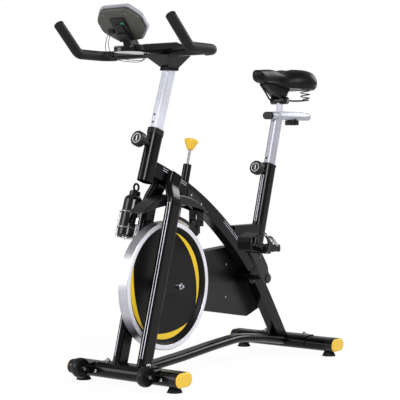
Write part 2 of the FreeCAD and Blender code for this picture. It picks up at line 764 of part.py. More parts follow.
def make_seat_tube():
    bore = seat_tube_solid(size("frame_wall"))
    bore.translate(along(size("seat_lean")) * 1.0)
    tube = with_pin_boss(seat_tube_solid(), seat_pin_place()).cut(bore)
    tube = tube.cut([beam_solid(size("beam_width")), brace_solid(), shell_solid()])
    solids = sorted(tube.Solids, key=lambda piece: piece.Volume)
    shape_node("seat_tube", solids[-1].fuse(frame_brace()).removeSplitter())


def brace_solid():
    """Box brace, from the main beam's back to the seat tube's front."""
    high = size("brace_height")
    width = size("beam_width")
    block = Part.makeBox(190, width, high, V(0, 0, 0))
    block.Placement = at(-300, -width / 2, size("brace_level") - high / 2)
    return block.cut([beam_solid(width + 10), seat_tube_solid()])


def frame_brace():
    """The part of the brace between the beam and the seat tube."""
    return max(brace_solid().Solids, key=lambda piece: piece.Volume)


def shell_solid(radius=None):
    """Filled bottom bracket shell."""
    radius = radius or size("shell_diameter") / 2
    half = size("shell_half_length")
    return Part.makeCylinder(radius, 2 * half, spot(size("crank_station"), -half,
                                                    size("crank_level")), V(0, 1, 0))


def make_bottom_bracket():
    """Shell across the frame with a pressed bearing ring in each end."""
    body = new_body("bottom_bracket")
    sketch = new_sketch(body, "XZ")
    radius, half = size("shell_diameter") / 2, size("shell_half_length")
    bore = size("crank_axle_diameter") / 2 + size("running_clearance")
    draw_outline(sketch, [(bore, -half), (radius - 4, -half), (radius, -half + 1.5),
                          (radius, half - 1.5), (radius - 4, half), (bore, half),
                          (bore, half - 12), (radius - 4, half - 14),
                          (radius - 4, -half + 14), (bore, -half + 12)])
    revolve(body, sketch)
    body.Placement = at(size("crank_station"), 0, size("crank_level"), SIDEWAYS)


def bracket_place():
    """Pivot of the brake arm, under the main beam."""
    return 100.0, 547.0


def make_main_beam():
    """Curved box beam from the head tube to the rear saddle plate."""
    width, wall = size("beam_width"), size("frame_wall")
    beam = beam_solid(width)
    hollow = beam_solid(width - 2 * wall, wall)
    x, z = bracket_place()
    ear = Part.makeBox(36, width, 60, V(-15, -width / 2, -16))
    ear.Placement = at(x, 0, z)
    slot = Part.makeBox(60, width - 10, 46, V(-30, -(width - 10) / 2, -20))
    slot.Placement = at(x, 0, z)
    ear = ear.cut(slot).cut(beam)
    pivot = Part.makeCylinder(4.0, width + 6, spot(x, -width / 2 - 3, z), V(0, 1, 0))
    keepers = [piece for piece in ear.Solids if piece.CenterOfMass.z < z + 30]
    beam = beam.cut([hollow, head_tube_solid(), shell_solid(), brake_sleeve_solid(),
                     stabiliser_solid(-1, size("plate_thickness")), base_rail_fill])
    beam = sorted(beam.Solids, key=lambda piece: piece.Volume)[-1]
    shape_node("main_beam", beam.fuse(keepers + [pivot, brake_sleeve()]).removeSplitter())


def make_fork_leg(name, side):
    """Flat-oval leg that bends in to the beam's side, with its dropout plate."""
    lean, offset = size("leg_lean"), size("leg_offset")
    slope = math.tan(math.radians(lean))
    foot = stabiliser_level() + size("stabiliser_height") / 2 + size("plate_thickness")
    foot_x = size("leg_foot_station")

    def station(level):
        return foot_x - (level - foot) * slope

    bend = size("leg_bend_level")
    inner = size("beam_width") / 2 + size("leg_width") / 2 - 6
    points = [spot(station(foot - 30), side * offset, foot - 30),
              spot(station(bend), side * offset, bend),
              spot(station(bend + 48) - 3, side * (inner + 2), bend + 48),
              spot(station(bend + 96) - 10, side * inner, bend + 92)]
    outer, tube = oval_tube(points, [90, 80], size("leg_depth"), size("leg_width"),
                            V(1, 0, 0), size("frame_wall"))
    trims = [stabiliser_solid(1, size("plate_thickness")), beam_solid(size("beam_width")),
             brake_sleeve_solid()]
    leg = sorted(tube.cut(trims).Solids, key=lambda piece: piece.Volume)[-1]
    level = size("flywheel_level")
    plate = [(station(level) + 2, level + 32), (size("flywheel_station") - 24, level + 17),
             (size("flywheel_station") - 24, level - 17), (station(level) + 8, level - 28)]
    edge = Part.makePolygon([spot(x, 0, z) for x, z in plate + plate[:1]])
    thick = size("dropout_thickness")
    dropout = Part.Face(edge).extrude(V(0, thick, 0))
    dropout.translate(V(0, side * (size("dropout_offset") + thick / 2) - thick / 2, 0))
    hole = Part.makeCylinder(size("axle_diameter") / 2, 40,
                             spot(size("flywheel_station"), side * size("dropout_offset") - 20,
                                  level), V(0, 1, 0))
    dropout = dropout.cut([hole, outer])
    dropout = sorted(dropout.Solids, key=lambda piece: piece.CenterOfMass.x)[0]
    leg_fill[side] = outer
    shape_node(name, leg.fuse(dropout).removeSplitter())


def make_post_collars():
    """Plastic bushings in the head and seat tubes, each with a rim on top."""
    collars = []
    gap = size("post_clearance")
    clear = size("frame_wall") + 0.1
    for lean, station, top, pin in (
            (size("head_lean"), size("head_station"), size("head_top"), head_pin_place()),
            (size("seat_lean"), size("seat_station"), size("seat_top"), seat_pin_place())):
        depth, width = size("post_tube_depth"), size("post_tube_width")
        rim_height = size("collar_height") if lean == size("head_lean") else 6.0
        rim = oval_bar(depth + 3, width + 3, rim_height)
        insert = oval_bar(depth - 2 * clear, width - 2 * clear, size("bushing_length"))
        insert.translate(V(0, 0, -size("bushing_length")))
        bore = oval_bar(size("post_depth") + 2 * gap, size("post_width") + 2 * gap, 200)
        bore.translate(V(0, 0, -100))
        collar = rim.fuse(insert).cut(bore)
        collar.Placement = FreeCAD.Placement(tube_axis(lean, station, top, 0), leaning(lean))
        hole = Part.makeCylinder(size("pin_diameter") / 2 + 1, 60, V(0, 0, 10))
        hole.Placement = pin
        collars.append(collar.cut(hole))
    shape_node("post_collars", Part.makeCompound(collars))


# ------------------------------------------------------------ flywheel, drive

def make_flywheel_rim():
    """Polished rim of the flywheel, a ring with eased corners."""
    body = new_body("flywheel_rim")
    sketch = new_sketch(body, "XZ")
    radius, half = size("flywheel_diameter") / 2, size("rim_width") / 2
    inner = radius - size("rim_depth")
    draw_outline(sketch, [(inner, -half + 1), (inner + 1, -half), (radius - 2.5, -half),
                          (radius, -half + 2.5), (radius, half - 2.5), (radius - 2.5, half),
                          (inner + 1, half), (inner, half - 1)])
    revolve(body, sketch)
    body.Placement = at(size("flywheel_station"), 0, size("flywheel_level"), SIDEWAYS)


def make_flywheel_disc():
    """Cast web and hub of the flywheel, dished on both sides."""
    body = new_body("flywheel_disc")
    sketch = new_sketch(body, "XZ")
    outer = size("flywheel_diameter") / 2 - size("rim_depth")
    half, web = size("rim_width") / 2, size("disc_width") / 2
    hub = size("hub_diameter") / 2
    bore = size("axle_diameter") / 2 + size("running_clearance")
    reach = size("dropout_offset") - 3
    shoulder = size("belt_offset") - size("belt_width") / 2 - 4
    collar = size("belt_offset") + size("belt_width") / 2 + 2
    draw_outline(sketch, [(bore, -reach), (bore + 6, -reach), (bore + 6, -half - 8),
                          (hub, -half - 2), (hub + 6, -web), (outer - 9, -web), (outer, -half + 3),
                          (outer, half - 3), (outer - 9, web), (hub + 6, web), (hub, half + 2),
                          (bore + 11, half + 8), (bore + 11, shoulder), (bore + 6, shoulder),
                          (bore + 6, collar), (bore, collar)])
    revolve(body, sketch)
    body.Placement = at(size("flywheel_station"), 0, size("flywheel_level"), SIDEWAYS)


def make_pulley(name, diameter, bore, station, level, hub_in, hub_out):
    """Flanged belt pulley; its local Z points to the rider's right."""
    body = new_body(name)
    sketch = new_sketch(body, "XZ")
    middle, half = size("belt_offset"), size("belt_width") / 2 + 1
    radius = size(diameter) / 2
    flange = 1.6
    web = max(bore + 8, 16)
    outline = [(bore, hub_in), (web, hub_in)]
    if radius > 60:
        outline += [(web, middle - 3), (radius - 12, middle - 3),
                    (radius - 8, middle - half - flange)]
    else:
        outline += [(web, middle - half - flange)]
    outline += [(radius + 4, middle - half - flange), (radius + 4, middle - half),
                (radius, middle - half), (radius, middle + half), (radius + 4, middle + half),
                (radius + 4, middle + half + flange)]
    if radius > 60:
        outline += [(radius - 8, middle + half + flange), (radius - 12, middle + 3),
                    (web, middle + 3), (web, hub_out), (bore, hub_out)]
    else:
        outline += [(bore, middle + half + flange)]
    draw_outline(sketch, outline)
    revolve(body, sketch)
    if radius > 60:
        spokes = new_sketch(body, "XY", 0.0)
        draw_circle(spokes, "Sizes.large_pulley_diameter / 6", radius * 0.52, 0.0)
        window = pocket(body, spokes, "2 * Sizes.guard_outer", symmetric=True, name="window")
        pattern = body.newObject("PartDesign::PolarPattern", name + "_windows")
        pattern.Originals = [window]
        pattern.Axis = (spokes, ["N_Axis"])
        pattern.Angle = 360
        pattern.Occurrences = 6
        body.Tip = pattern
    body.Placement = at(station, 0, level, SIDEWAYS)


def tangent_loop(radius_a, centre_a, radius_b, centre_b):
    """Face inside an open belt round two circles in the XZ plane."""
    link = centre_b - centre_a
    reach = link.Length
    forward = V(link).normalize()
    side = V(-forward.z, 0, forward.x)
    sine = (radius_a - radius_b) / reach
    cosine = math.sqrt(1 - sine * sine)
    up = forward * sine + side * cosine
    down = forward * sine - side * cosine
    a_up, a_down = centre_a + up * radius_a, centre_a + down * radius_a
    b_up, b_down = centre_b + up * radius_b, centre_b + down * radius_b
    edges = [Part.LineSegment(a_up, b_up), Part.Arc(b_up, centre_b + forward * radius_b, b_down),
             Part.LineSegment(b_down, a_down),
             Part.Arc(a_down, centre_a - forward * radius_a, a_up)]
    return Part.Face(Part.Wire([edge.toShape() for edge in edges]))


def make_drive_belt():
    """Belt round both pulleys."""
    width = size("belt_width")
    place = -size("belt_offset") - width / 2
    big = spot(size("crank_station"), place, size("crank_level"))
    small = spot(size("flywheel_station"), place, size("flywheel_level"))
    loops = []
    for skin in (size("belt_clearance") + size("belt_thickness"), size("belt_clearance")):
        loops.append(tangent_loop(size("large_pulley_diameter") / 2 + skin, big,
                                  size("small_pulley_diameter") / 2 + skin, small))
    shape_node("drive_belt", loops[0].extrude(V(0, width, 0)).cut(loops[1].extrude(V(0, width, 0))))


def make_flywheel_axle():
    """Fixed axle with its nuts and the pair of tension bolts."""
    radius, reach = size("axle_diameter") / 2, size("axle_reach")
    level, station = size("flywheel_level"), size("flywheel_station")
    outside = size("dropout_offset") + size("dropout_thickness")
    solids = [Part.makeCylinder(radius, 2 * reach, spot(station, -reach, level), V(0, 1, 0))]
    for side in (-1, 1):
        nut = Part.makeCylinder(11, 8, V(0, 0, 0), V(0, 0, 1))
        flats = Part.makePolygon([V(10.5 / math.cos(math.pi / 6) * math.cos(k * math.pi / 3),
                                    10.5 / math.cos(math.pi / 6) * math.sin(k * math.pi / 3), 0)
                                  for k in range(7)])
        nut = nut.common(Part.Face(flats).extrude(V(0, 0, 8)))
        nut = nut.cut(Part.makeCylinder(radius, 8))
        nut.Placement = FreeCAD.Placement(spot(station, side * outside, level),
                                          FreeCAD.Rotation(V(1, 0, 0), -90 * side))
        solids.append(nut)
    shape_node("flywheel_axle", Part.makeCompound(solids))


def crank_outline(length):
    """Round-ended tapering arm, from the axle at the origin up to the pedal."""
    big, small = 19.0, 15.0
    sine = (big - small) / length
    cosine = math.sqrt(1 - sine * sine)
    return [(big * cosine, big * sine), (small * cosine, length + small * sine),
            ((0.0, length + small), (-small * cosine, length + small * sine)),
            (-big * cosine, big * sine), ((0.0, -big), (big * cosine, big * sine))]


def make_crank(name, side):
    """Forged crank arm with the pedal axle screwed into its end."""
    body = new_body(name)
    length = size("crank_length")
    arm = new_sketch(body, "XZ")
    draw_outline(arm, crank_outline(length))
    pad(body, arm, "Sizes.crank_thickness", name="arm")
    boss = new_sketch(body, "XZ", size("crank_thickness"))
    draw_circle(boss, "Sizes.crank_axle_diameter + 12")
    pad(body, boss, "Sizes.crank_thickness / 4", name="boss")
    spindle = new_sketch(body, "XZ", size("crank_thickness"))
    draw_circle(spindle, "Sizes.spindle_diameter", 0.0, length)
    pad(body, spindle, "Sizes.pedal_inner + Sizes.pedal_width - Sizes.crank_offset"
                       " - Sizes.crank_thickness - 6", name="spindle")
    turn = size("crank_angle") if side > 0 else size("crank_angle") + 180
    face = FreeCAD.Rotation(V(0, 0, 1), 180 if side > 0 else 0)
    lean = FreeCAD.Rotation(V(0, 1, 0), turn)
    body.Placement = at(size("crank_station"), side * size("crank_offset"), size("crank_level"),
                        lean.multiply(face))


def make_crank_axle():
    """Axle through the bottom bracket, from crank to crank."""
    body = new_body("crank_axle")
    sketch = new_sketch(body, "XZ")
    draw_circle(sketch, "Sizes.crank_axle_diameter")
    pad(body, sketch, "2 * Sizes.crank_offset", symmetric=True)
    body.Placement = at(size("crank_station"), 0, size("crank_level"))


def pedal_centre(side):
    turn = math.radians(size("crank_angle"))
    reach = size("crank_length") * (1 if side > 0 else -1)
    return size("crank_station") + reach * math.sin(turn), size("crank_level") + reach * math.cos(turn)


def toothed_outline(length, height):
    """Edge plate of a pedal: a strip with teeth along its top and bottom."""
    count, tooth = 7, 4.0
    pitch = length / count
    points = []
    for step in range(count):
        x = -length / 2 + step * pitch
        points += [(x, height / 2), (x + pitch * 0.3, height / 2 + tooth),
                   (x + pitch * 0.7, height / 2 + tooth)]
    points.append((length / 2, height / 2))
    return points + [(x, -z) for x, z in points[::-1]]


def make_pedal(name, side):
    """Cage pedal: a barrel on the axle, two cross plates and toothed edges."""
    width, length, height = size("pedal_width"), size("pedal_length"), size("pedal_height")
    plate = 5.0
    inner = size("pedal_inner")
    bore = size("spindle_diameter") / 2 + size("running_clearance")
    barrel = Part.makeCylinder(height / 2, width, V(0, 0, 0), V(0, 1, 0))
    solids = []
    for end in (0, width - plate):
        web = Part.makeBox(length - 2 * plate, plate, height - 4,
                           V(-length / 2 + plate, end, -height / 2 + 2))
        solids.append(web)
    for rib in (-1, 1):
        solids.append(Part.makeBox(length / 2 - plate, 6, height - 10,
                                   V(0 if rib > 0 else -length / 2 + plate, width / 2 - 3,
                                     -height / 2 + 5)))
    for edge in (-1, 1):
        outline = [V(edge * length / 2 - (plate if edge > 0 else 0), y + width / 2, z)
                   for y, z in toothed_outline(width, height - 4)]
        strip = Part.Face(Part.makePolygon(outline + outline[:1])).extrude(V(plate, 0, 0))
        solids.append(strip)
    pedal = barrel.fuse(solids).cut(Part.makeCylinder(bore, width - 4, V(0, 0, 0), V(0, 1, 0)))
    x, z = pedal_centre(side)
    pedal.translate(V(0, inner, 0))
    if side < 0:
        pedal = mirrored(pedal)
    pedal.translate(spot(x, 0, z))
    shape_node(name, pedal.removeSplitter())


def make_toe_cage(name, side):
    """Toe basket in front of the pedal and the strap that goes over the foot."""
    inner, width, length = size("pedal_inner"), size("pedal_width"), size("pedal_length")
    front = length / 2 + 0.2
    strip = 3.0
    run = bent_path([V(front, 0, -9), V(front + 66, 0, -4), V(front + 74, 0, 44),
                     V(front + 18, 0, 62)], [16, 20])
    hoop = run.makePipeShell([Part.makePolygon([V(front, -30, -9), V(front, 30, -9),
                                                V(front, 30, -9 + strip), V(front, -30, -9 + strip),
                                                V(front, -30, -9)])], True, False)
    cheeks = []
    for edge in (-1, 1):
        rail = round_tube([V(front + 2, edge * 34, 2), V(front + 40, edge * 36, 24),
                           V(front + 26, edge * 33, 54)], [18], 7.0)
        cheeks.append(rail)
    half = width / 2 + 3.2
    ring = [V(20, -half, -16), V(20, -half, 34), V(20, -half * 0.55, 62), V(20, half * 0.55, 62),
            V(20, half, 34), V(20, half, -16)]
    loop = bent_path(ring, [24, 24, 24, 24])
    outer = Part.Face(Part.Wire(loop.Edges + [Part.LineSegment(ring[-1], ring[0]).toShape()]))
    band = outer.extrude(V(20, 0, 0))
    inside = outer.makeOffset2D(-2.4).extrude(V(20, 0, 0))
    strap = band.cut(inside)
    buckle = Part.makeBox(26, 6, 16, V(17, half + 0.1, 12))
    solids = [hoop.cut(strap), strap, buckle] + [rail.cut([hoop, strap]) for rail in cheeks]
    x, z = pedal_centre(side)
    cage = Part.makeCompound(solids)
    cage.translate(V(0, inner + width / 2, 0))
    if side < 0:
        cage = mirrored(cage)
    cage.translate(spot(x, 0, z))
    shape_node(name, cage)


# ----------------------------------------------------------- guard and fender

def guard_outline(inset=0.0):
    """Outline of the belt guard in the XZ plane, drawn in from its edge."""
    rear = size("crank_station") - size("large_pulley_diameter") / 2
    top = size("crank_level") + size("large_pulley_diameter") / 2 + 20
    floor = size("crank_level") - size("large_pulley_diameter") / 2 - 60
    front = size("flywheel_station") + size("small_pulley_diameter") / 2 + 8
    points = [V(front - 20, 0, top - 30), V(-162, 0, top), V(rear - 34, 0, top),
              V(rear - 118, 0, size("crank_level") + 10), V(rear - 62, 0, floor + 30),
              V(rear + 40, 0, floor - 2), V(front + 25, 0, size("flywheel_level") - 62)]
    start = (points[0] + points[-1]) * 0.5
    edges = bent_path([start] + points + [start], [14.0, 40.0, 60.0, 60.0, 60.0, 30.0, 14.0])
    face = Part.Face(Part.Wire(edges.Edges))
    if inset:
        face = Part.Face(face.makeOffset2D(-inset).OuterWire)
    face.translate(V(origin_shift, 0, 0))
    return face


def guard_screw_spots():
    return [(-133, 374), (-126, 249), (-337, 200), (-234, 405)]


def make_belt_guard():
    """Back plate beside the frame and a moulded cover over the belt."""
    inner, outer, wall = size("guard_inner"), size("guard_outer"), size("guard_wall")
    plate = guard_outline().extrude(V(0, wall, 0))
    plate.translate(V(0, -inner - wall, 0))
    axis = V(0, 1, 0)
    crank = Part.makeCylinder(size("shell_diameter") / 2 + 3, 200,
                              spot(size("crank_station"), -150, size("crank_level")), axis)
    hub = Part.makeCylinder(size("hub_diameter") / 2 + 4, 200,
                            spot(size("flywheel_station"), -150, size("flywheel_level")), axis)
    shape_node("belt_guard_back", plate.cut([crank, hub]))
    depth = outer - inner - wall
    shell = guard_outline().extrude(V(0, depth, 0))
    shell.translate(V(0, -outer, 0))
    near = V(0, -outer, 0)
    rim = [edge for edge in shell.Edges if abs(edge.BoundBox.YMax - near.y) < 0.01]
    shell = shell.makeFillet(6.0, rim)
    hollow = guard_outline(wall).extrude(V(0, depth, 0))
    hollow.translate(V(0, -outer + wall, 0))
    mouth = Part.makeBox(40, depth - wall, 90, spot(size("flywheel_station") + 20, -outer + wall,
                                                    size("flywheel_level") - 45))
    ring = Part.makeCylinder(size("crank_axle_diameter") / 2 + 8, 20,
                             spot(size("crank_station"), -outer - 5, size("crank_level")), axis)
    shape_node("belt_guard_cover", shell.cut([hollow, mouth, ring]))


def make_guard_stay():
    """Steel rod from the brake pivot ears down to the top of the belt guard."""
    x, z = bracket_place()
    top = size("crank_level") + size("large_pulley_diameter") / 2 + 20
    side = -size("guard_inner") + 3.05
    points = [spot(x + 2, -size("beam_width") / 2 - 3.05, z - 8), spot(x - 8, side, z - 40),
              spot(20, side, top - 6), spot(10, side, top - 40)]
    rod = round_tube(points, [20, 60], 6.0)
    shape_node("guard_stay", rod)


FENDER_TIPS = [(440, 595), (275, 652), (77, 583)]      # crown of the fender


def make_flywheel_fender():
    """Crescent shell over the flywheel with ear plates on the main beam."""
    half, wall = size("fender_half_width"), size("fender_wall")
    front, crown, rear = [spot(x, 0, z) for x, z in FENDER_TIPS]

    def crescent(skin, reach):
        drop = 36.0 - 2 * skin
        low = crown - V(0, 0, drop)
        tip = 3.0 - skin
        edges = [Part.Arc(front - V(skin, 0, 0), crown - V(0, 0, skin), rear + V(skin, 0, 0)),
                 Part.LineSegment(rear + V(skin, 0, 0), rear + V(skin, 0, -tip)),
                 Part.Arc(rear + V(skin, 0, -tip), low, front + V(-skin, 0, -tip)),
                 Part.LineSegment(front + V(-skin, 0, -tip), front - V(skin, 0, 0))]
        face = Part.Face(Part.Wire([edge.toShape() for edge in edges]))
        solid = face.extrude(V(0, 2 * reach, 0))
        solid.translate(V(0, -reach, 0))
        return solid

    shell = crescent(0, half)
    edges = [edge for edge in shell.Edges
             if abs(abs(edge.CenterOfMass.y) - half) < 0.01 and edge.BoundBox.ZMax > crown.z - 1]
    shell = shell.makeFillet(7.0, edges)
    inside = crescent(wall, half - wall)
    drop = inside.copy()
    drop.translate(V(0, 0, -wall * 2))
    shell = shell.cut([inside, drop])
    legs = []
    for side in (-1, 1):
        legs.append(leg_fill[side])
    shell = shell.cut(legs + [beam_solid(size("beam_width")), built["main_beam"]])
    ears = []
    for side in (-1, 1):
        outline = [spot(190, 0, 615), spot(178, 0, 668), spot(152, 0, 662), spot(84, 0, 612),
                   spot(90, 0, 590)]
        ear = Part.Face(Part.makePolygon(outline + outline[:1])).extrude(V(0, wall, 0))
        offset = size("beam_width") / 2 if side > 0 else -size("beam_width") / 2 - wall
        ear.translate(V(0, offset, 0))
        ears.append(ear.cut([leg_fill[side], inside, built["main_beam"]]))
    fender = shell.fuse(ears).removeSplitter()
    solids = sorted(fender.Solids, key=lambda piece: piece.Volume)
    shape_node("flywheel_fender", solids[-1] if len(solids) > 1 else fender)


def make_cover_screws():
    """Pan-head screws of the belt guard and of the fender's ear plates."""
    solids = []
    for x, z in guard_screw_spots():
        solids.append(turned([(0, 0), (4.5, 0), (4.2, 1.6), (2.5, 2.6), (0, 2.9)],
                             FreeCAD.Placement(spot(x, -size("guard_inner"), z),
                                               FreeCAD.Rotation(V(1, 0, 0), -90))))
    for side in (-1, 1):
        face = size("beam_width") / 2 + size("fender_wall")
        for x, z in ((162, 646), (106, 610)):
            solids.append(turned([(0, 0), (4.5, 0), (4.2, 1.6), (2.5, 2.6), (0, 2.9)],
                                 FreeCAD.Placement(spot(x, side * face, z),
                                                   FreeCAD.Rotation(V(1, 0, 0), -90 * side))))
    shape_node("cover_screws", Part.makeCompound(solids))


# ---------------------------------------------------------------------- brake

def brake_sleeve_solid():
    """Filled brake sleeve, standing through the main beam."""
    length = size("brake_sleeve_length")
    foot = tube_axis(size("brake_lean"), size("brake_station"), size("brake_sleeve_top"), length)
    return Part.makeCylinder(size("brake_sleeve_diameter") / 2, length, foot,
                             along(size("brake_lean")))


def brake_sleeve():
    """Sleeve through the main beam, bored for the brake rod."""
    length = size("brake_sleeve_length")
    foot = tube_axis(size("brake_lean"), size("brake_station"), size("brake_sleeve_top"), length)
    bore = Part.makeCylinder(size("brake_rod_diameter") / 2 + size("running_clearance"),
                             length + 2, foot - along(size("brake_lean")), along(size("brake_lean")))
    sleeve = brake_sleeve_solid()
    rims = [edge for edge in sleeve.Edges if edge.BoundBox.ZMin > foot.z + length * 0.8]
    return sleeve.makeFillet(2.0, rims).cut(bore)


def brake_arm_radius():
    return size("flywheel_diameter") / 2 + size("pad_gap") + size("pad_thickness")


def ring_piece(inner, outer, start, end, width):
    """Part of a ring about the flywheel axis, between two angles."""
    centre = spot(size("flywheel_station"), -width / 2, size("flywheel_level"))

    def point(radius, angle):
        turn = math.radians(angle)
        return centre + V(radius * math.cos(turn), 0, radius * math.sin(turn))

    middle = (start + end) / 2
    edges = [Part.Arc(point(outer, start), point(outer, middle), point(outer, end)),
             Part.LineSegment(point(outer, end), point(inner, end)),
             Part.Arc(point(inner, end), point(inner, middle), point(inner, start)),
             Part.LineSegment(point(inner, start), point(outer, start))]
    face = Part.Face(Part.Wire([edge.toShape() for edge in edges]))
    return face.extrude(V(0, width, 0))


def rod_foot():
    """Lower end of the brake rod, just above the brake arm."""
    radius = brake_arm_radius() + size("brake_arm_thickness") + size("seat_gap") + 0.4
    axis = size("brake_lean")
    top = spot(size("brake_station"), 0, size("brake_sleeve_top"))
    centre = spot(size("flywheel_station"), 0, size("flywheel_level"))
    drop = 0.0
    while (top - along(axis) * drop - centre).Length > radius:
        drop += 0.05
    return top - along(axis) * drop, drop


def make_brake_rod():
    """Steel rod through the sleeve, from the knob to the brake arm."""
    foot, drop = rod_foot()
    length = drop + 54
    rod = turned([(0, 0.5), (2.5, 0), (size("brake_rod_diameter") / 2, 2),
                  (size("brake_rod_diameter") / 2, length), (0, length)],
                 FreeCAD.Placement(foot, leaning(size("brake_lean"))))
    shape_node("brake_rod", rod)


def make_brake_knob():
    """Tapered moulded knob, wide at its crowned top."""
    foot, drop = rod_foot()
    radius, height = size("brake_knob_diameter") / 2, size("brake_knob_height")
    seat = foot + along(size("brake_lean")) * (drop + 54)
    body = new_body("brake_knob")
    sketch = new_sketch(body, "XZ")
    draw_outline(sketch, [(0.0, 0.1), (9.5, 0.1), (11.0, 1.6), (radius * 0.67, height * 0.35),
                          (radius * 0.92, height * 0.675), (radius, height * 0.8),
                          (radius * 0.99, height * 0.88), (radius * 0.93, height * 0.95),
                          (radius * 0.81, height), (radius * 0.6, height * 1.04),
                          (radius * 0.35, height * 1.07), (0.0, height * 1.085)])
    revolve(body, sketch)
    body.Placement = FreeCAD.Placement(seat, leaning(size("brake_lean")))


def make_brake_arm():
    """Curved lever over the rim, hung on the pivot under the main beam."""
    inner = brake_arm_radius()
    outer = inner + size("brake_arm_thickness")
    x, z = bracket_place()
    arm = ring_piece(inner, outer, 101, 136, size("beam_width") - 12)
    eye = Part.makeCylinder(9.0, size("beam_width") - 12,
                            spot(x, -(size("beam_width") - 12) / 2, z), V(0, 1, 0))
    link = Part.makeBox(18, size("beam_width") - 12, 48,
                        spot(x - 2, -(size("beam_width") - 12) / 2, z - 42))
    hole = Part.makeCylinder(4.0 + size("running_clearance"), 80, spot(x, -40, z), V(0, 1, 0))
    guard = Part.makeCylinder(inner, 80, spot(size("flywheel_station"), -40,
                                              size("flywheel_level")), V(0, 1, 0))
    shape_node("brake_arm", arm.fuse([eye, link]).cut([hole, guard]).removeSplitter())


def make_brake_pad():
    """Felt pad under the brake arm, just clear of the rim."""
    inner = size("flywheel_diameter") / 2 + size("pad_gap")
    shape_node("brake_pad", ring_piece(inner, inner + size("pad_thickness"), 103, 121,
                                       size("beam_width") - 14))


# ------------------------------------------------------------ posts and pins

def post_shape(lean, station, top, pin_drop, above, length, holes_up, holes_down):
    """Flat-oval post with a row of pin holes down its front."""
    pin = tube_axis(lean, station, top, pin_drop)
    post = oval_bar(size("post_depth"), size("post_width"), length)
    wall = size("post_wall")
    post = post.cut(oval_bar(size("post_depth") - 2 * wall, size("post_width") - 2 * wall, length))
    post.translate(V(0, 0, above - length))
    holes = [Part.makeCylinder(size("hole_diameter") / 2, 16,
                               V(size("post_depth") / 2 - 12, 0, step * size("hole_pitch")),
                               V(1, 0, 0)) for step in range(-holes_down, holes_up + 1)]
    post = post.cut(holes)
    post.Placement = FreeCAD.Placement(pin, leaning(lean)).multiply(post.Placement)
    return post


def handlebar_above():
    """Distance along the handlebar post from its pin to its top."""
    pin = tube_axis(size("head_lean"), size("head_station"), size("head_top"),
                    size("head_pin_drop"))
    return (size("handlebar_post_top") - pin.z) / math.cos(math.radians(size("head_lean")))


def make_handlebar_post():
    shape_node("handlebar_post", post_shape(
        size("head_lean"), size("head_station"), size("head_top"), size("head_pin_drop"),
        handlebar_above(), size("handlebar_post_length"), 4, 2))


def seat_above():
    """Distance along the seat post from its pin to the underside of the rail."""
    pin = tube_axis(size("seat_lean"), size("seat_station"), size("seat_top"),
                    size("seat_pin_drop"))
    return (size("rail_level") - pin.z) / math.cos(math.radians(size("seat_lean")))


def make_seat_post():
    post = post_shape(size("seat_lean"), size("seat_station"), size("seat_top"),
                      size("seat_pin_drop"), seat_above(), size("seat_post_length"), 2, 4)
    shape_node("seat_post", post.cut(rail_fill()))


def make_pop_pin(name, place):
    """Spring pin with a fluted knob; its nose stops just short of the post."""
    knob_radius, knob_length = size("pin_knob_diameter") / 2, size("pin_knob_length")
    nose = size("post_depth") / 2 + 2.0
    face = size("post_tube_depth") / 2 + size("pin_boss_length") + size("pin_travel")
    shaft = size("pin_diameter") / 2
    profile = [(0, nose), (3.0, nose), (shaft, nose + 2), (shaft, face), (13, face),
               (14, face + 4), (knob_radius - 2, face + 8), (knob_radius, face + 10),
               (knob_radius, face + knob_length - 3), (knob_radius - 3, face + knob_length),
               (knob_radius - 6, face + knob_length), (knob_radius - 7, face + knob_length - 1.2),
               (0, face + knob_length - 1.2)]
    body = new_body(name)
    sketch = new_sketch(body, "XZ")
    draw_outline(sketch, profile)
    revolve(body, sketch)
    flute = new_sketch(body, "XY", face + 6)
    draw_circle(flute, "Sizes.pin_knob_diameter / 9", knob_radius + 1.0, 0.0)
    groove = pocket(body, flute, "Sizes.pin_knob_length", reverse=True, name="flute")
    pattern = body.newObject("PartDesign::PolarPattern", name + "_flutes")
    pattern.Originals = [groove]
    pattern.Axis = (flute, ["N_Axis"])
    pattern.Angle = 360
    pattern.Occurrences = 12
    body.Tip = pattern
    body.Placement = place


# ------------------------------------------------------ handlebar and console

def make_stem_box():
    """Moulded housing that widens from the post up to the handlebar."""
    top = tube_axis(size("head_lean"), size("head_station"), size("head_top"), 0)
    low, high = size("stem_foot_level"), size("stem_top_level")

    def station(level):
        return top.x - (level - top.z) * math.tan(math.radians(size("head_lean")))

    def frame(length, width, level, shift):
        x = station(level) + shift
        rim = Part.makePlane(length, width, V(x - length / 2, -width / 2, level))
        return rim.OuterWire

    middle = low + 12
    lower = Part.makeLoft([frame(size("stem_foot_length"), size("stem_foot_width"), low, 0),
                           frame(size("stem_foot_length"), size("stem_foot_width"), middle, 0),
                           frame(size("stem_top_length"), size("stem_top_width"), high - 12, 27),
                           frame(size("stem_top_length"), size("stem_top_width"), high, 27)],
                          True, True)
    bar = Part.makeCylinder(size("bar_diameter") / 2, 200,
                            spot(size("bar_station"), -100, size("bar_level")), V(0, 1, 0))
    post = post_solid_handlebar()
    shape_node("stem_box", lower.cut([bar, post]))


def post_solid_handlebar():
    pin = tube_axis(size("head_lean"), size("head_station"), size("head_top"),
                    size("head_pin_drop"))
    post = oval_bar(size("post_depth"), size("post_width"), size("handlebar_post_length"))
    post.translate(V(0, 0, handlebar_above() - size("handlebar_post_length")))
    post.Placement = FreeCAD.Placement(pin, leaning(size("head_lean"))).multiply(post.Placement)
    return post


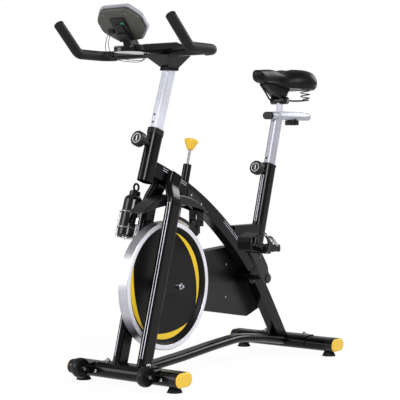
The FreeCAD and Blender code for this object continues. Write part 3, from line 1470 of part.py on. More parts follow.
def handlebar_points(side):
    """Route of the handlebar from its cross tube to a raised end."""
    x, z, half = size("bar_station"), size("bar_level"), size("bar_half_width") * side
    corner = size("bar_corner_station")
    turn = math.radians(size("horn_angle"))
    rise = size("horn_length")
    return [spot(x, 0, z), spot(x, half, z), spot(corner, half, z),
            spot(corner + rise * math.cos(turn), half, z + rise * math.sin(turn))]


def make_handlebar_tube():
    bend = size("bar_bend_radius")
    halves = [round_tube(handlebar_points(side), [bend, bend], size("bar_diameter"), 2.0)
              for side in (1, -1)]
    shape_node("handlebar_tube", halves[0].fuse(halves[1]).removeSplitter())


def make_grip(name, side):
    """Foam sleeve over a side tube of the handlebar, closed at its end."""
    bend = size("bar_bend_radius")
    cross, outer, corner, end = handlebar_points(side)
    start = outer - V(0, side * (bend + 2), 0)
    tip = end + (end - corner).normalize() * 4
    body = round_tube([start, outer, corner, tip], [bend, bend], size("grip_diameter"))
    inner = round_tube([start, outer, corner, end], [bend, bend], size("bar_diameter"))
    grip = body.cut(inner)
    rims = [edge for edge in grip.Edges
            if (edge.CenterOfMass - tip).Length < 1 and edge.Length > size("grip_diameter") * 3]
    if rims:
        grip = grip.makeFillet(2.5, rims)
    shape_node(name, grip)


def make_console_tray():
    """Long moulded tray over the cross tube, with a rounded nose in front."""
    half = size("tray_half_width")
    level = size("bar_level") + size("bar_diameter") / 2
    rear, front = 176.0, 530.0
    outline = [V(rear, -half, 0), V(rear, half, 0), V(front - 80, half - 4, 0)]
    edges = [Part.LineSegment(outline[0], outline[1]), Part.LineSegment(outline[1], outline[2]),
             Part.Arc(outline[2], V(front, 0, 0), V(front - 80, -half + 4, 0)),
             Part.LineSegment(V(front - 80, -half + 4, 0), outline[0])]
    face = Part.Face(Part.Wire([edge.toShape() for edge in edges]))
    face.translate(V(origin_shift, 0, level - 26))
    block = face.extrude(V(0, 0, 70))
    profile = [spot(rear - 5, 0, level - 18), spot(rear + 20, 0, level - 21),
               spot(front + 5, 0, level - 22), spot(front + 5, 0, level - 10),
               spot(front - 30, 0, level + 1), spot(400, 0, level + 12),
               spot(270, 0, level + 26), spot(225, 0, level + 18), spot(rear - 5, 0, level - 6)]
    side = Part.Face(Part.makePolygon(profile + profile[:1])).extrude(V(0, 120, 0))
    side.translate(V(0, -60, 0))
    tray = block.common(side)
    top = [edge for edge in tray.Edges if edge.BoundBox.ZMin > level - 12 and edge.Length > 12]
    try_radius = 3.0
    tray = tray.makeFillet(try_radius, top)
    bar = Part.makeCylinder(size("bar_diameter") / 2, 300,
                            spot(size("bar_station"), -150, size("bar_level")), V(0, 1, 0))
    saddle = Part.makeBox(size("bar_diameter"), 300, 40,
                          spot(size("bar_station") - size("bar_diameter") / 2, -150,
                               size("bar_level") - 40))
    stem = Part.makeBox(200, 200, 60, spot(150, -100, size("stem_top_level") - 60))
    tray = tray.cut([bar, saddle, stem])
    glands = [lead_gland(name, -1).common(Part.makeBox(60, 60, 12, spot(346, -34, 1132)))
              for name in LEAD_ROUTES]
    shape_node("console_tray", tray.fuse(glands).removeSplitter())


def console_place():
    """Middle of the console; its local Z points out of the display."""
    return at(size("console_station"), 0, size("console_level"),
              FreeCAD.Rotation(V(0, 1, 0), -size("console_tilt")))


def console_outline(inset):
    """Rounded six-sided outline of the console, its X up the face."""
    half_w, half_h = size("console_width") / 2 - inset, size("console_height") / 2 - inset
    corners = [V(-half_h, half_w * 0.52, 0), V(-half_h * 0.35, half_w, 0),
               V(half_h * 0.35, half_w, 0), V(half_h, half_w * 0.6, 0),
               V(half_h, -half_w * 0.6, 0), V(half_h * 0.35, -half_w, 0),
               V(-half_h * 0.35, -half_w, 0), V(-half_h, -half_w * 0.52, 0)]
    start = V(-half_h, 0, 0)
    loop = bent_path([start] + corners + [start], [18, 24, 24, 24, 24, 24, 24, 18])
    return Part.Face(Part.Wire(loop.Edges))


def make_console():
    """Front case with its display, back case with the battery door, a button."""
    deep, back = size("console_case_depth"), size("console_back_depth")
    case = console_outline(0).extrude(V(0, 0, deep))
    rim = [edge for edge in case.Edges if edge.CenterOfMass.z > deep - 0.01]
    case = case.makeFillet(6.0, rim)
    window = Part.makeBox(46, 104, 3, V(4, -52, deep - 1.2))
    radius = size("button_diameter") / 2
    well = Part.makeCylinder(radius + size("seat_gap"), deep, V(-size("console_height") * 0.3, 0, 5))
    case = case.cut([window, well])
    case.Placement = console_place()
    shape_node("console_case", case)
    shell = console_outline(5).extrude(V(0, 0, -back))
    edge = [edge for edge in shell.Edges if edge.CenterOfMass.z < -back + 0.01]
    shell = shell.makeFillet(5.0, edge)
    door = Part.makeBox(34, 60, 1.2, V(-2, -30, -back))
    shell = shell.cut(door)
    horn = Part.makeBox(30, 44, 26, V(-54, -22, -back - 20))
    post = shell.fuse(horn)
    post.Placement = console_place()
    post = post.fuse([console_neck()] + [lead_gland(name, 0) for name in LEAD_ROUTES])
    post = post.removeSplitter().cut([tray_fill(), case])
    shape_node("console_back", post)
    body = new_body("mode_button")
    sketch = new_sketch(body, "XY")
    draw_circle(sketch, "Sizes.button_diameter")
    pad(body, sketch, "Sizes.console_case_depth - 5 + Sizes.button_travel - 1")
    button = console_place().multiply(
        FreeCAD.Placement(V(-size("console_height") * 0.3, 0, 6.2), LEVEL))
    body.Placement = button


def console_neck():
    """Short bracket from the tray up to the console's back."""
    outline = [spot(436, 0, 1160), spot(482, 0, 1160), spot(506, 0, 1204), spot(486, 0, 1216),
               spot(462, 0, 1200)]
    neck = Part.Face(Part.makePolygon(outline + outline[:1])).extrude(V(0, 34, 0))
    neck.translate(V(0, -17, 0))
    case = console_outline(0).extrude(V(0, 0, size("console_case_depth")))
    case.Placement = console_place()
    return neck.cut(case)


def tray_fill():
    """Space under the tray's top, to stand the console's bracket on."""
    level = size("bar_level") + size("bar_diameter") / 2
    profile = [spot(170, 0, level - 40), spot(540, 0, level - 40), spot(500, 0, level + 1),
               spot(400, 0, level + 12), spot(270, 0, level + 26)]
    side = Part.Face(Part.makePolygon(profile + profile[:1])).extrude(V(0, 160, 0))
    side.translate(V(0, -80, 0))
    return side


# Routes of the two sensor leads, from the console's back down in front of the
# handlebar and up under the tray to the stem box.
LEAD_ROUTES = {
    "sensor_lead_a": [(512, -58, 1211), (520, -58, 1203.8), (526, -59, 1190), (528, -61, 1174),
                      (527, -64, 1158), (521, -66, 1143), (509, -66, 1131), (490, -62, 1123),
                      (464, -54, 1118), (434, -44, 1115), (402, -30, 1114), (376, -20, 1120),
                      (372, -20, 1138)],
    "sensor_lead_b": [(512, -46, 1211), (519.5, -46, 1204.2), (525, -48, 1191), (526, -51, 1175),
                      (522, -54, 1159), (512, -56, 1145), (495, -56, 1134), (472, -52, 1127),
                      (446, -44, 1122), (422, -31, 1120), (400, -17, 1120), (380, -8, 1124),
                      (376, -8, 1138)],
}


def lead_gland(name, end):
    """Short strain relief that a lead runs into, at its first or last point."""
    points = [spot(*point) for point in LEAD_ROUTES[name]]
    near, far = (points[0], points[1]) if end == 0 else (points[-1], points[-2])
    back = (near - far).normalize()
    return Part.makeCylinder(size("lead_diameter") * 1.7, 14.0, near, back)


def make_sensor_lead(name):
    """Thin free cord of straight runs and tangent arcs."""
    points = [spot(*point) for point in LEAD_ROUTES[name]]
    radii = []
    for before, corner, after in zip(points, points[1:], points[2:]):
        turn = (corner - before).getAngle(after - corner)
        run = min((corner - before).Length, (after - corner).Length)
        radii.append(0.45 * run / math.tan(turn / 2))
    print(name, "radii", [round(radius) for radius in radii])
    cord = round_tube(points, radii, size("lead_diameter"))
    length = bent_path(points, radii).Length
    print(name, "length", round(length), "volume ratio",
          round(cord.Volume / (length * math.pi * size("lead_diameter") ** 2 / 4), 3))
    shape_node(name, cord)


# ----------------------------------------------------------------------- seat

def rail_fill():
    """Filled seat rail."""
    length = size("rail_front") - size("rail_rear")
    rail = oval_bar(size("rail_width"), size("rail_height"), length)
    rail.Placement = at(size("rail_front"), 0, size("rail_level"),
                        FreeCAD.Rotation(V(0, 1, 0), -90).multiply(
                            FreeCAD.Rotation(V(0, 0, 1), 90)))
    return rail


def make_slider_rail():
    """Flat-oval rail with plugged ends and a slot for the clamp screw."""
    length = size("rail_front") - size("rail_rear")
    wall = size("post_wall")
    bore = oval_bar(size("rail_width") - 2 * wall, size("rail_height") - 2 * wall, length)
    bore.Placement = rail_fill().Placement
    slot = Part.makeBox(2 * size("saddle_slide") + 26, 13, 60, V(0, 0, 0))
    slot.Placement = at(size("rail_knob_station") - size("saddle_slide") - 13, -6.5,
                        size("rail_level") - 30)
    shape_node("slider_rail", rail_fill().cut([bore, slot]))


def make_rail_plugs():
    """Moulded plugs in both ends of the seat rail."""
    plugs = []
    wall, gap = size("post_wall"), size("seat_gap")
    for end, station in ((1, size("rail_front")), (-1, size("rail_rear"))):
        head = oval_bar(size("rail_width"), size("rail_height"), size("rail_plug_length"))
        rim = [edge for edge in head.Edges if edge.CenterOfMass.z > size("rail_plug_length") - 0.01]
        head = head.makeFillet(3.0, rim)
        stem = oval_bar(size("rail_width") - 2 * (wall + gap),
                        size("rail_height") - 2 * (wall + gap), 12)
        stem.translate(V(0, 0, -12))
        plug = head.fuse(stem)
        plug.Placement = at(station, 0, size("rail_level"), FreeCAD.Rotation(
            V(0, 1, 0), 90 * end).multiply(FreeCAD.Rotation(V(0, 0, 1), 90)))
        plugs.append(plug)
    shape_node("rail_plugs", Part.makeCompound(plugs))


def make_saddle_carriage():
    """Channel that slides on the rail, with the saddle pillar and clamp screw."""
    gap, wall = size("seat_gap"), size("carriage_wall")
    length = size("carriage_front") - size("carriage_rear")
    width, high = size("rail_width"), size("rail_height")
    outer = oval_bar(width + 2 * (wall + gap), high + 2 * (wall + gap), length)
    inner = oval_bar(width + 2 * gap, high + 2 * gap, length)
    turn = rail_fill().Placement.Rotation
    channel = outer.cut(inner)
    channel.Placement = at(size("carriage_front"), 0, size("rail_level"), turn)
    below = Part.makeBox(length + 2, width * 2, high, V(0, 0, 0))
    below.Placement = at(size("carriage_rear") - 1, -width, size("rail_level") - 2 - high)
    channel = channel.cut(below)
    base = size("rail_level") + high / 2 + gap + wall
    pillar = Part.makeCylinder(size("pillar_diameter") / 2, size("clamp_level") - base + 3,
                               spot(size("pillar_station"), 0, base - 3))
    cradle = Part.makeCylinder(size("clamp_diameter") / 2 + gap, 80,
                               spot(size("pillar_station"), -40, size("clamp_level")), V(0, 1, 0))
    trim = inner.copy()
    trim.Placement = channel.Placement
    trim.Placement = at(size("carriage_front"), 0, size("rail_level"), turn)
    pillar = pillar.cut([cradle, trim])
    pillar = sorted(pillar.Solids, key=lambda piece: piece.CenterOfMass.z)[0]
    under = size("rail_level") - high / 2 - 6
    screw = Part.makeCylinder(4, base - under - 1, spot(size("rail_knob_station"), 0, under))
    shape_node("saddle_carriage", channel.fuse([pillar, screw]).removeSplitter())


def make_rail_knob():
    """Four-lobed clamp knob on the screw under the seat rail."""
    body = new_body("rail_knob")
    reach, under = size("rail_knob_reach") / 2, size("rail_height") / 2 + size("seat_gap")
    sketch = new_sketch(body, "XY")
    draw_circle(sketch, "Sizes.rail_knob_reach * 0.62")
    draw_circle(sketch, "8 + 2 * Sizes.running_clearance")
    pad(body, sketch, "Sizes.rail_height * 0.66", name="hub")
    lobe = new_sketch(body, "XY")
    draw_circle(lobe, "Sizes.rail_knob_reach / 3", reach * 0.68, 0.0)
    grip = pad(body, lobe, "Sizes.rail_height * 0.66", name="lobe")
    pattern = body.newObject("PartDesign::PolarPattern", "rail_knob_lobes")
    pattern.Originals = [grip]
    pattern.Axis = (sketch, ["N_Axis"])
    pattern.Angle = 360
    pattern.Occurrences = 4
    body.Tip = pattern
    level = size("rail_level") - under - size("rail_height") * 0.66 - 0.3
    body.Placement = at(size("rail_knob_station"), 0, level)


def make_saddle_rails():
    """Clamp barrel, two wires that carry the saddle and its rear rubber springs."""
    wire = size("saddle_wire")
    half = 30.0
    x, z = size("pillar_station"), size("clamp_level")
    base = size("saddle_base") - size("seat_gap")
    barrel = Part.makeCylinder(size("clamp_diameter") / 2, 2 * (half + wire),
                               spot(x, -half - wire, z), V(0, 1, 0))
    solids = []
    for side in (-1, 1):
        points = [spot(-306, side * 9, base + 14), spot(-352, side * 18, z + 12),
                  spot(-400, side * half, z + 1), spot(-500, side * half, z),
                  spot(-545, side * 60, z + 0.5)]
        barrel = barrel.fuse(round_tube(points, [40, 50, 30], wire))
        seat = spot(-545, side * 60, z)
        rise = base - z - 2
        barrel = barrel.fuse(Part.makeCylinder(16, 4, seat - V(0, 0, 2)))
        waves = [V(0, 0, 0), V(12, 0, 0)]
        for turn in range(3):
            low = rise * turn / 3
            waves += [V(15, 0, low + rise * 0.09), V(15, 0, low + rise * 0.22),
                      V(10.5, 0, low + rise * 0.31)]
        waves += [V(12, 0, rise), V(0, 0, rise), V(0, 0, 0)]
        spring = Part.Face(Part.makePolygon(waves)).revolve(V(0, 0, 0), V(0, 0, 1), 360)
        spring.translate(seat + V(0, 0, 2))
        solids.append(spring)
    shape_node("saddle_rails", Part.makeCompound([barrel] + solids))


def make_saddle():
    """Padded saddle: a wide tail that narrows to a long nose, domed on top."""
    nose, tail = size("saddle_nose"), size("saddle_tail")
    base, top = size("saddle_base"), size("saddle_top")
    wide = size("saddle_width") / 2
    stations = [(0.0, 0.10, 0.30), (0.04, 0.19, 0.52), (0.16, 0.24, 0.70), (0.34, 0.29, 0.78),
                (0.50, 0.44, 0.82), (0.64, 0.74, 0.90), (0.78, 0.97, 1.0), (0.90, 0.98, 0.98),
                (0.97, 0.84, 0.84), (1.0, 0.66, 0.66)]
    wires = []
    for share, spread, rise in stations:
        x = nose + (tail - nose) * share
        half, high = wide * spread, (top - base) * rise
        floor = max(base, top - high - 4) if share < 0.5 else base
        high = min(high, top - floor)
        crown = [(half * 0.86, 0.0), (half, 0.3), (half * 0.9, 0.72), (half * 0.55, 0.96), (0, 1.0),
                 (-half * 0.55, 0.96), (-half * 0.9, 0.72), (-half, 0.3), (-half * 0.86, 0.0)]
        curve = Part.BSplineCurve()
        curve.interpolate([spot(x, y, floor + z * high) for y, z in crown])
        chord = Part.LineSegment(curve.EndPoint, curve.StartPoint)
        wires.append(Part.Wire([curve.toShape(), chord.toShape()]))
    shape_node("saddle", Part.makeLoft(wires, True, False))


# --------------------------------------------------------------------- bottle

def bottle_frame():
    """Foot of the bottle beside the right leg; local Z runs up the bottle."""
    out = size("leg_offset") + size("leg_width") / 2 + size("cage_wire") + size("bottle_gap") + 1.4
    foot = spot(372, -out - size("bottle_diameter") / 2, 501)
    return FreeCAD.Placement(foot, leaning(size("bottle_lean")))


def make_water_bottle():
    """Plain bottle with round shoulders and a screw cap that carries a finger loop."""
    radius, length = size("bottle_diameter") / 2, size("bottle_length")
    profile = [(0, 4), (radius - 12, 4), (radius - 8, 0), (radius - 3, 0), (radius, 4),
               (radius, length - 18), (radius - 2, length - 9), (radius - 8, length - 2),
               (radius - 14, length + 1), (20, length + 3), (20, length + 15),
               (18, length + 18), (11, length + 19), (10, length + 21), (0, length + 21)]
    bottle = turned(profile, FreeCAD.Placement())
    ring = Part.makeTorus(13, 4.0, V(0, 0, length + 33), V(0, 1, 0))
    bottle = bottle.fuse(ring)
    bottle.Placement = bottle_frame()
    shape_node("water_bottle", bottle)


def make_bottle_cage():
    """Wire cage screwed to the right leg: two hoops, rails and a floor disc."""
    wire, gap = size("cage_wire"), size("bottle_gap")
    radius = size("bottle_diameter") / 2 + gap + wire / 2
    rail, floor = radius + wire * 0.45, -gap - wire / 2
    hoops = [Part.makeTorus(radius, wire / 2, V(0, 0, level), V(0, 0, 1))
             for level in (30.0, 88.0)]
    cage = Part.makeCylinder(16, 3.0, V(0, 0, floor - 1.5))
    for angle in (-135, -45, 90):
        out = V(math.cos(math.radians(angle)), math.sin(math.radians(angle)), 0)
        bar = round_tube([out * rail + V(0, 0, 94), out * rail + V(0, 0, floor),
                          out * 9 + V(0, 0, floor)], [11], wire)
        cage = cage.fuse(bar)
    tab = Part.makeBox(60, 12, 22, V(-54, radius - 1, 48))
    cage = cage.fuse(hoops + [tab])
    cage.Placement = bottle_frame()
    shape_node("bottle_cage", cage.cut(leg_fill[-1]))


# ----------------------------------------------------------------------- build

leg_fill = {}

make_stabiliser("front_stabiliser", 1)
make_stabiliser("rear_stabiliser", -1)
make_end_caps()
make_rubber_feet()
base_rail, base_rail_fill = make_base_rail()
make_stand_fasteners()
make_wheel_brackets()
make_transport_wheel("left_transport_wheel", 1)
make_transport_wheel("right_transport_wheel", -1)
make_fork_leg("left_fork_leg", 1)
make_fork_leg("right_fork_leg", -1)
make_main_beam()
make_head_tube()
make_seat_tube()
make_bottom_bracket()
make_post_collars()
make_flywheel_rim()
make_flywheel_disc()
make_pulley("flywheel_pulley", "small_pulley_diameter",
            size("axle_diameter") / 2 + size("running_clearance") + 6, size("flywheel_station"),
            size("flywheel_level"), size("belt_offset") - size("belt_width") / 2 - 4, 59.0)
make_pulley("drive_pulley", "large_pulley_diameter", size("crank_axle_diameter") / 2,
            size("crank_station"), size("crank_level"), 36.0, 66.0)
make_drive_belt()
make_flywheel_axle()
make_crank_axle()
make_crank("left_crank", 1)
make_crank("right_crank", -1)
make_pedal("left_pedal", 1)
make_pedal("right_pedal", -1)
make_toe_cage("left_toe_cage", 1)
make_toe_cage("right_toe_cage", -1)
make_belt_guard()
make_guard_stay()
make_flywheel_fender()
make_cover_screws()
make_brake_rod()
make_brake_knob()
make_brake_arm()
make_brake_pad()
make_handlebar_post()
make_seat_post()
make_pop_pin("head_pin", head_pin_place())
make_pop_pin("seat_pin", seat_pin_place())
make_stem_box()
make_handlebar_tube()
make_grip("left_grip", 1)
make_grip("right_grip", -1)
make_console_tray()
make_console()
make_sensor_lead("sensor_lead_a")
make_sensor_lead("sensor_lead_b")
make_slider_rail()
make_rail_plugs()
make_saddle_carriage()
make_rail_knob()
make_saddle_rails()
make_saddle()
make_water_bottle()
make_bottle_cage()

doc.recompute()
failed = [node.Label for node in doc.Objects if "Invalid" in node.State or "Error" in node.State]
broken = [node.Label for node in exported if node.Shape.isNull() or not node.Shape.isValid()]
if failed or broken:
    raise RuntimeError("failed: %s, not valid: %s" % (failed, broken))

os.makedirs("parts", exist_ok=True)
for node in exported:
    node.Shape.exportStep("parts/%s.step" % node.Label)
print(len(exported), "sub-parts written")
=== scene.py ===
"""Dresses an indoor spin bike: finishes for its frame, and its soft and printed pieces."""
import json
import math

import bmesh
import bpy
from bpy.props import FloatProperty, FloatVectorProperty, PointerProperty
from mathutils import Matrix, Vector


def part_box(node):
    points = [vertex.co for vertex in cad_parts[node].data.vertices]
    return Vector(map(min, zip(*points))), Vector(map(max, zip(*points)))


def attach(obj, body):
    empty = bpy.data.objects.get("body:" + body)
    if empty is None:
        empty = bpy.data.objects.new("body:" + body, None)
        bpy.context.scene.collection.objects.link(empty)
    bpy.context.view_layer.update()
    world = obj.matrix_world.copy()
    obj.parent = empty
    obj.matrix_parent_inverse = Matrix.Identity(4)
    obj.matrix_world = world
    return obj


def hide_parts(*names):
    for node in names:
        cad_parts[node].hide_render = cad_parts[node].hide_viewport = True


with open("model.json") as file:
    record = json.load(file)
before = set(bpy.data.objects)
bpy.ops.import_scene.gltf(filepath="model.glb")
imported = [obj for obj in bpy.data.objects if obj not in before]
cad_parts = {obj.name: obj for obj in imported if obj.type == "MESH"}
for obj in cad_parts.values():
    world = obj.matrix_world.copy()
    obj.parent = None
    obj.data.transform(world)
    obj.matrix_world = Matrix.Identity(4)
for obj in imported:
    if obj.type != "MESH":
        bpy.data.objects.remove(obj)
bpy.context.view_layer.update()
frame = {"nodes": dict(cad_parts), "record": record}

bl_info = {
    "name": "Spin bike dresser",
    "version": (1, 0, 0),
    "blender": (4, 5, 0),
    "location": "View3D > Sidebar > Spin bike",
    "description": "Finishes and soft pieces of an indoor spin bike",
    "category": "Add Mesh",
}

MM = 0.001
NODES = frame["nodes"]
SIDES = ((1, "left"), (-1, "right"))
ACROSS = (math.pi / 2, 0, 0)            # turns a cylinder's axis along Y
HEAD_LEAN, SEAT_LEAN, LEG_LEAN = 19.0, 16.3, 16.3       # degrees back from straight up


# ------------------------------------------------------------------- colours

def linear(code):
    """Linear RGBA of an sRGB hex colour such as 1a1b1d."""
    parts = [int(code[k:k + 2], 16) / 255 for k in (0, 2, 4)]
    return tuple(c / 12.92 if c <= 0.04045 else ((c + 0.055) / 1.055) ** 2.4
                 for c in parts) + (1.0,)


def add_node(tree, kind, inputs=None, **settings):
    """One shader node with its settings, values and links."""
    node = tree.nodes.new(kind)
    for key, value in settings.items():
        setattr(node, key, value)
    for key, value in (inputs or {}).items():
        if isinstance(value, bpy.types.NodeSocket):
            tree.links.new(value, node.inputs[key])
        else:
            node.inputs[key].default_value = value
    return node


def blank_material(name):
    """Material with an empty tree; gives it, its tree and the place in the object's axes."""
    material = bpy.data.materials.new(name)
    material.use_nodes = True
    tree = material.node_tree
    tree.nodes.clear()
    return material, tree, add_node(tree, "ShaderNodeTexCoord").outputs["Object"]


def noise(tree, place, size_mm, detail, **inputs):
    """Noise whose largest lumps are about size_mm wide."""
    return add_node(tree, "ShaderNodeTexNoise", {"Vector": place, "Scale": 1 / (size_mm * MM),
                                                 "Detail": detail, **inputs}).outputs["Fac"]


def cells(tree, place, size_mm, **settings):
    """Distance within cells that are about size_mm wide."""
    return add_node(tree, "ShaderNodeTexVoronoi", {"Vector": place, "Scale": 1 / (size_mm * MM)},
                    **settings).outputs["Distance"]


def blend(tree, factor, start, end):
    """Colour between two others, each a hex code or a socket."""
    start, end = (linear(c) if isinstance(c, str) else c for c in (start, end))
    return add_node(tree, "ShaderNodeMix", {"Factor": factor, "A": start, "B": end},
                    data_type="RGBA").outputs["Result"]


def figure(tree, operation, *values):
    """Number worked out from others."""
    return add_node(tree, "ShaderNodeMath", dict(enumerate(values)),
                    operation=operation).outputs[0]


def ranged(tree, value, start, end, low, high, **settings):
    """Value carried over from one range to another."""
    return add_node(tree, "ShaderNodeMapRange", {
        "Value": value, "From Min": start, "From Max": end, "To Min": low, "To Max": high},
        **settings).outputs["Result"]


def bumps(tree, height, strength, depth_mm):
    """Normal of a surface with bumps up to depth_mm deep."""
    return add_node(tree, "ShaderNodeBump", {"Height": height, "Strength": strength,
                                             "Distance": depth_mm * MM}).outputs["Normal"]


def shade(tree, kind, inputs, target="ShaderNodeOutputMaterial"):
    """Shader linked to the tree's output."""
    shader = add_node(tree, kind, inputs)
    tree.links.new(shader.outputs[0], add_node(tree, target).inputs[0])


def moulded_or_coated(name, light, dark, rough, grain_mm, bump_mm, metallic=0.0, coat=0.0,
                      cloud_mm=60.0, ior=1.5, rough_spread=0.08, band=None):
    """Surface with a fine grain, slow colour drift and roughness that follows both.

    A band is (point, direction, near, far, colour): outside that run it has the colour.
    """
    material, tree, place = blank_material(name)
    grain = noise(tree, place, grain_mm, 3.0, Roughness=0.6)
    cloud = noise(tree, place, cloud_mm, 4.0, Roughness=0.55)
    colour = blend(tree, cloud, dark, light)
    if band:
        point, direction, near, far, outside = band
        offset = add_node(tree, "ShaderNodeVectorMath", {0: place, 1: point},
                          operation="SUBTRACT")
        reach = add_node(tree, "ShaderNodeVectorMath", {0: offset.outputs[0], 1: direction},
                         operation="DOT_PRODUCT").outputs["Value"]
        inside = figure(tree, "COMPARE", reach, (near + far) / 2, (far - near) / 2)
        colour = blend(tree, inside, outside, colour)
    both = figure(tree, "ADD", grain, cloud)
    shade(tree, "ShaderNodeBsdfPrincipled", {
        "Base Color": colour, "Normal": bumps(tree, grain, 0.6, bump_mm),
        "Roughness": ranged(tree, both, 0.6, 1.4, rough - rough_spread, rough + rough_spread),
        "Metallic": metallic, "IOR": ior, "Coat Weight": coat})
    return material


def turned_chrome(name, axis_point, half_width):
    """Rim turned on a lathe: fine rings about the axle, bright tread and paler satin sides."""
    material, tree, place = blank_material(name)
    centred = add_node(tree, "ShaderNodeMapping", {"Vector": place,
                                                   "Location": [-c for c in axis_point]})
    split = add_node(tree, "ShaderNodeSeparateXYZ", {0: centred.outputs[0]})
    across = split.outputs["Y"]
    flat = add_node(tree, "ShaderNodeCombineXYZ", {"X": split.outputs["X"],
                                                   "Z": split.outputs["Z"]})
    radius = add_node(tree, "ShaderNodeVectorMath", {0: flat.outputs[0]}, operation="LENGTH")
    lane = add_node(tree, "ShaderNodeCombineXYZ", {"X": radius.outputs["Value"], "Y": across})
    # rings 0.8 mm apart show at this size; real turning marks are finer
    rings = noise(tree, lane.outputs[0], 0.8, 2.0)
    side = figure(tree, "GREATER_THAN", figure(tree, "ABSOLUTE", across), half_width)
    tread = blend(tree, noise(tree, place, 45, 3.0), "a6a7ad", "cfcfd6")
    shade(tree, "ShaderNodeBsdfPrincipled", {
        "Base Color": blend(tree, side, tread, "d9d9e2"),
        "Metallic": ranged(tree, side, 0.0, 1.0, 1.0, 0.3),
        "Roughness": ranged(tree, rings, 0.3, 0.7, 0.26, 0.46),
        "Normal": bumps(tree, rings, 0.25, 0.05)})
    return material


def grained_leather(name, light, dark, cell_mm, rough):
    """Synthetic leather: pebbled cells with darker creases between and a dull shine."""
    material, tree, place = blank_material(name)
    crease = cells(tree, place, cell_mm, feature="DISTANCE_TO_EDGE")
    pebble = ranged(tree, crease, 0.0, 0.22, 0.0, 1.0)
    cloud = noise(tree, place, 35, 5.0)
    shade(tree, "ShaderNodeBsdfPrincipled", {
        "Base Color": blend(tree, figure(tree, "MULTIPLY", pebble, cloud), dark, light),
        "Roughness": ranged(tree, cloud, 0.3, 0.7, rough - 0.08, rough + 0.1),
        "Normal": bumps(tree, pebble, 0.3, 0.1), "IOR": 1.27})
    return material


def cell_foam(name, light, dark, pore_mm):
    """Closed-cell foam sleeve: small open pores, very matt."""
    material, tree, place = blank_material(name)
    dots = ranged(tree, cells(tree, place, pore_mm), 0.05, 0.45, 0.0, 1.0)
    mottle = figure(tree, "MULTIPLY", dots, noise(tree, place, 40, 4.0))
    shade(tree, "ShaderNodeBsdfPrincipled", {
        "Base Color": blend(tree, mottle, dark, light), "Roughness": 0.6,
        "Normal": bumps(tree, dots, 0.5, 0.2), "IOR": 1.33})
    return material


def pressed_felt(name):
    """Wool felt of the brake: tangled fibres with no shine."""
    material, tree, place = blank_material(name)
    fibre = noise(tree, place, 1.2, 6.0, Distortion=1.5)
    shade(tree, "ShaderNodeBsdfPrincipled", {
        "Base Color": blend(tree, fibre, "7d7668", "c2bba9"), "Roughness": 0.95,
        "Normal": bumps(tree, fibre, 0.8, 0.4), "Sheen Weight": 0.3})
    return material


def ribbed_reflector(name, light, dark):
    """Clear moulded reflector: small prisms behind a glossy face."""
    material, tree, place = blank_material(name)
    prisms = cells(tree, place, 2.5, feature="F1", distance="MANHATTAN")
    shade(tree, "ShaderNodeBsdfPrincipled", {
        "Base Color": blend(tree, prisms, light, dark), "Roughness": 0.15,
        "Normal": bumps(tree, prisms, 0.7, 0.5), "Coat Weight": 1.0})
    return material


CONSOLE_CENTRE = Vector((0.527, 0, 1.238))      # on the seam of the console's two halves
CONSOLE_TILT = 48.0                             # degrees above level
CONSOLE_UP = Vector((math.cos(math.radians(CONSOLE_TILT)), 0,
                     math.sin(math.radians(CONSOLE_TILT))))
CONSOLE_OUT = Vector((-CONSOLE_UP.z, 0, CONSOLE_UP.x))


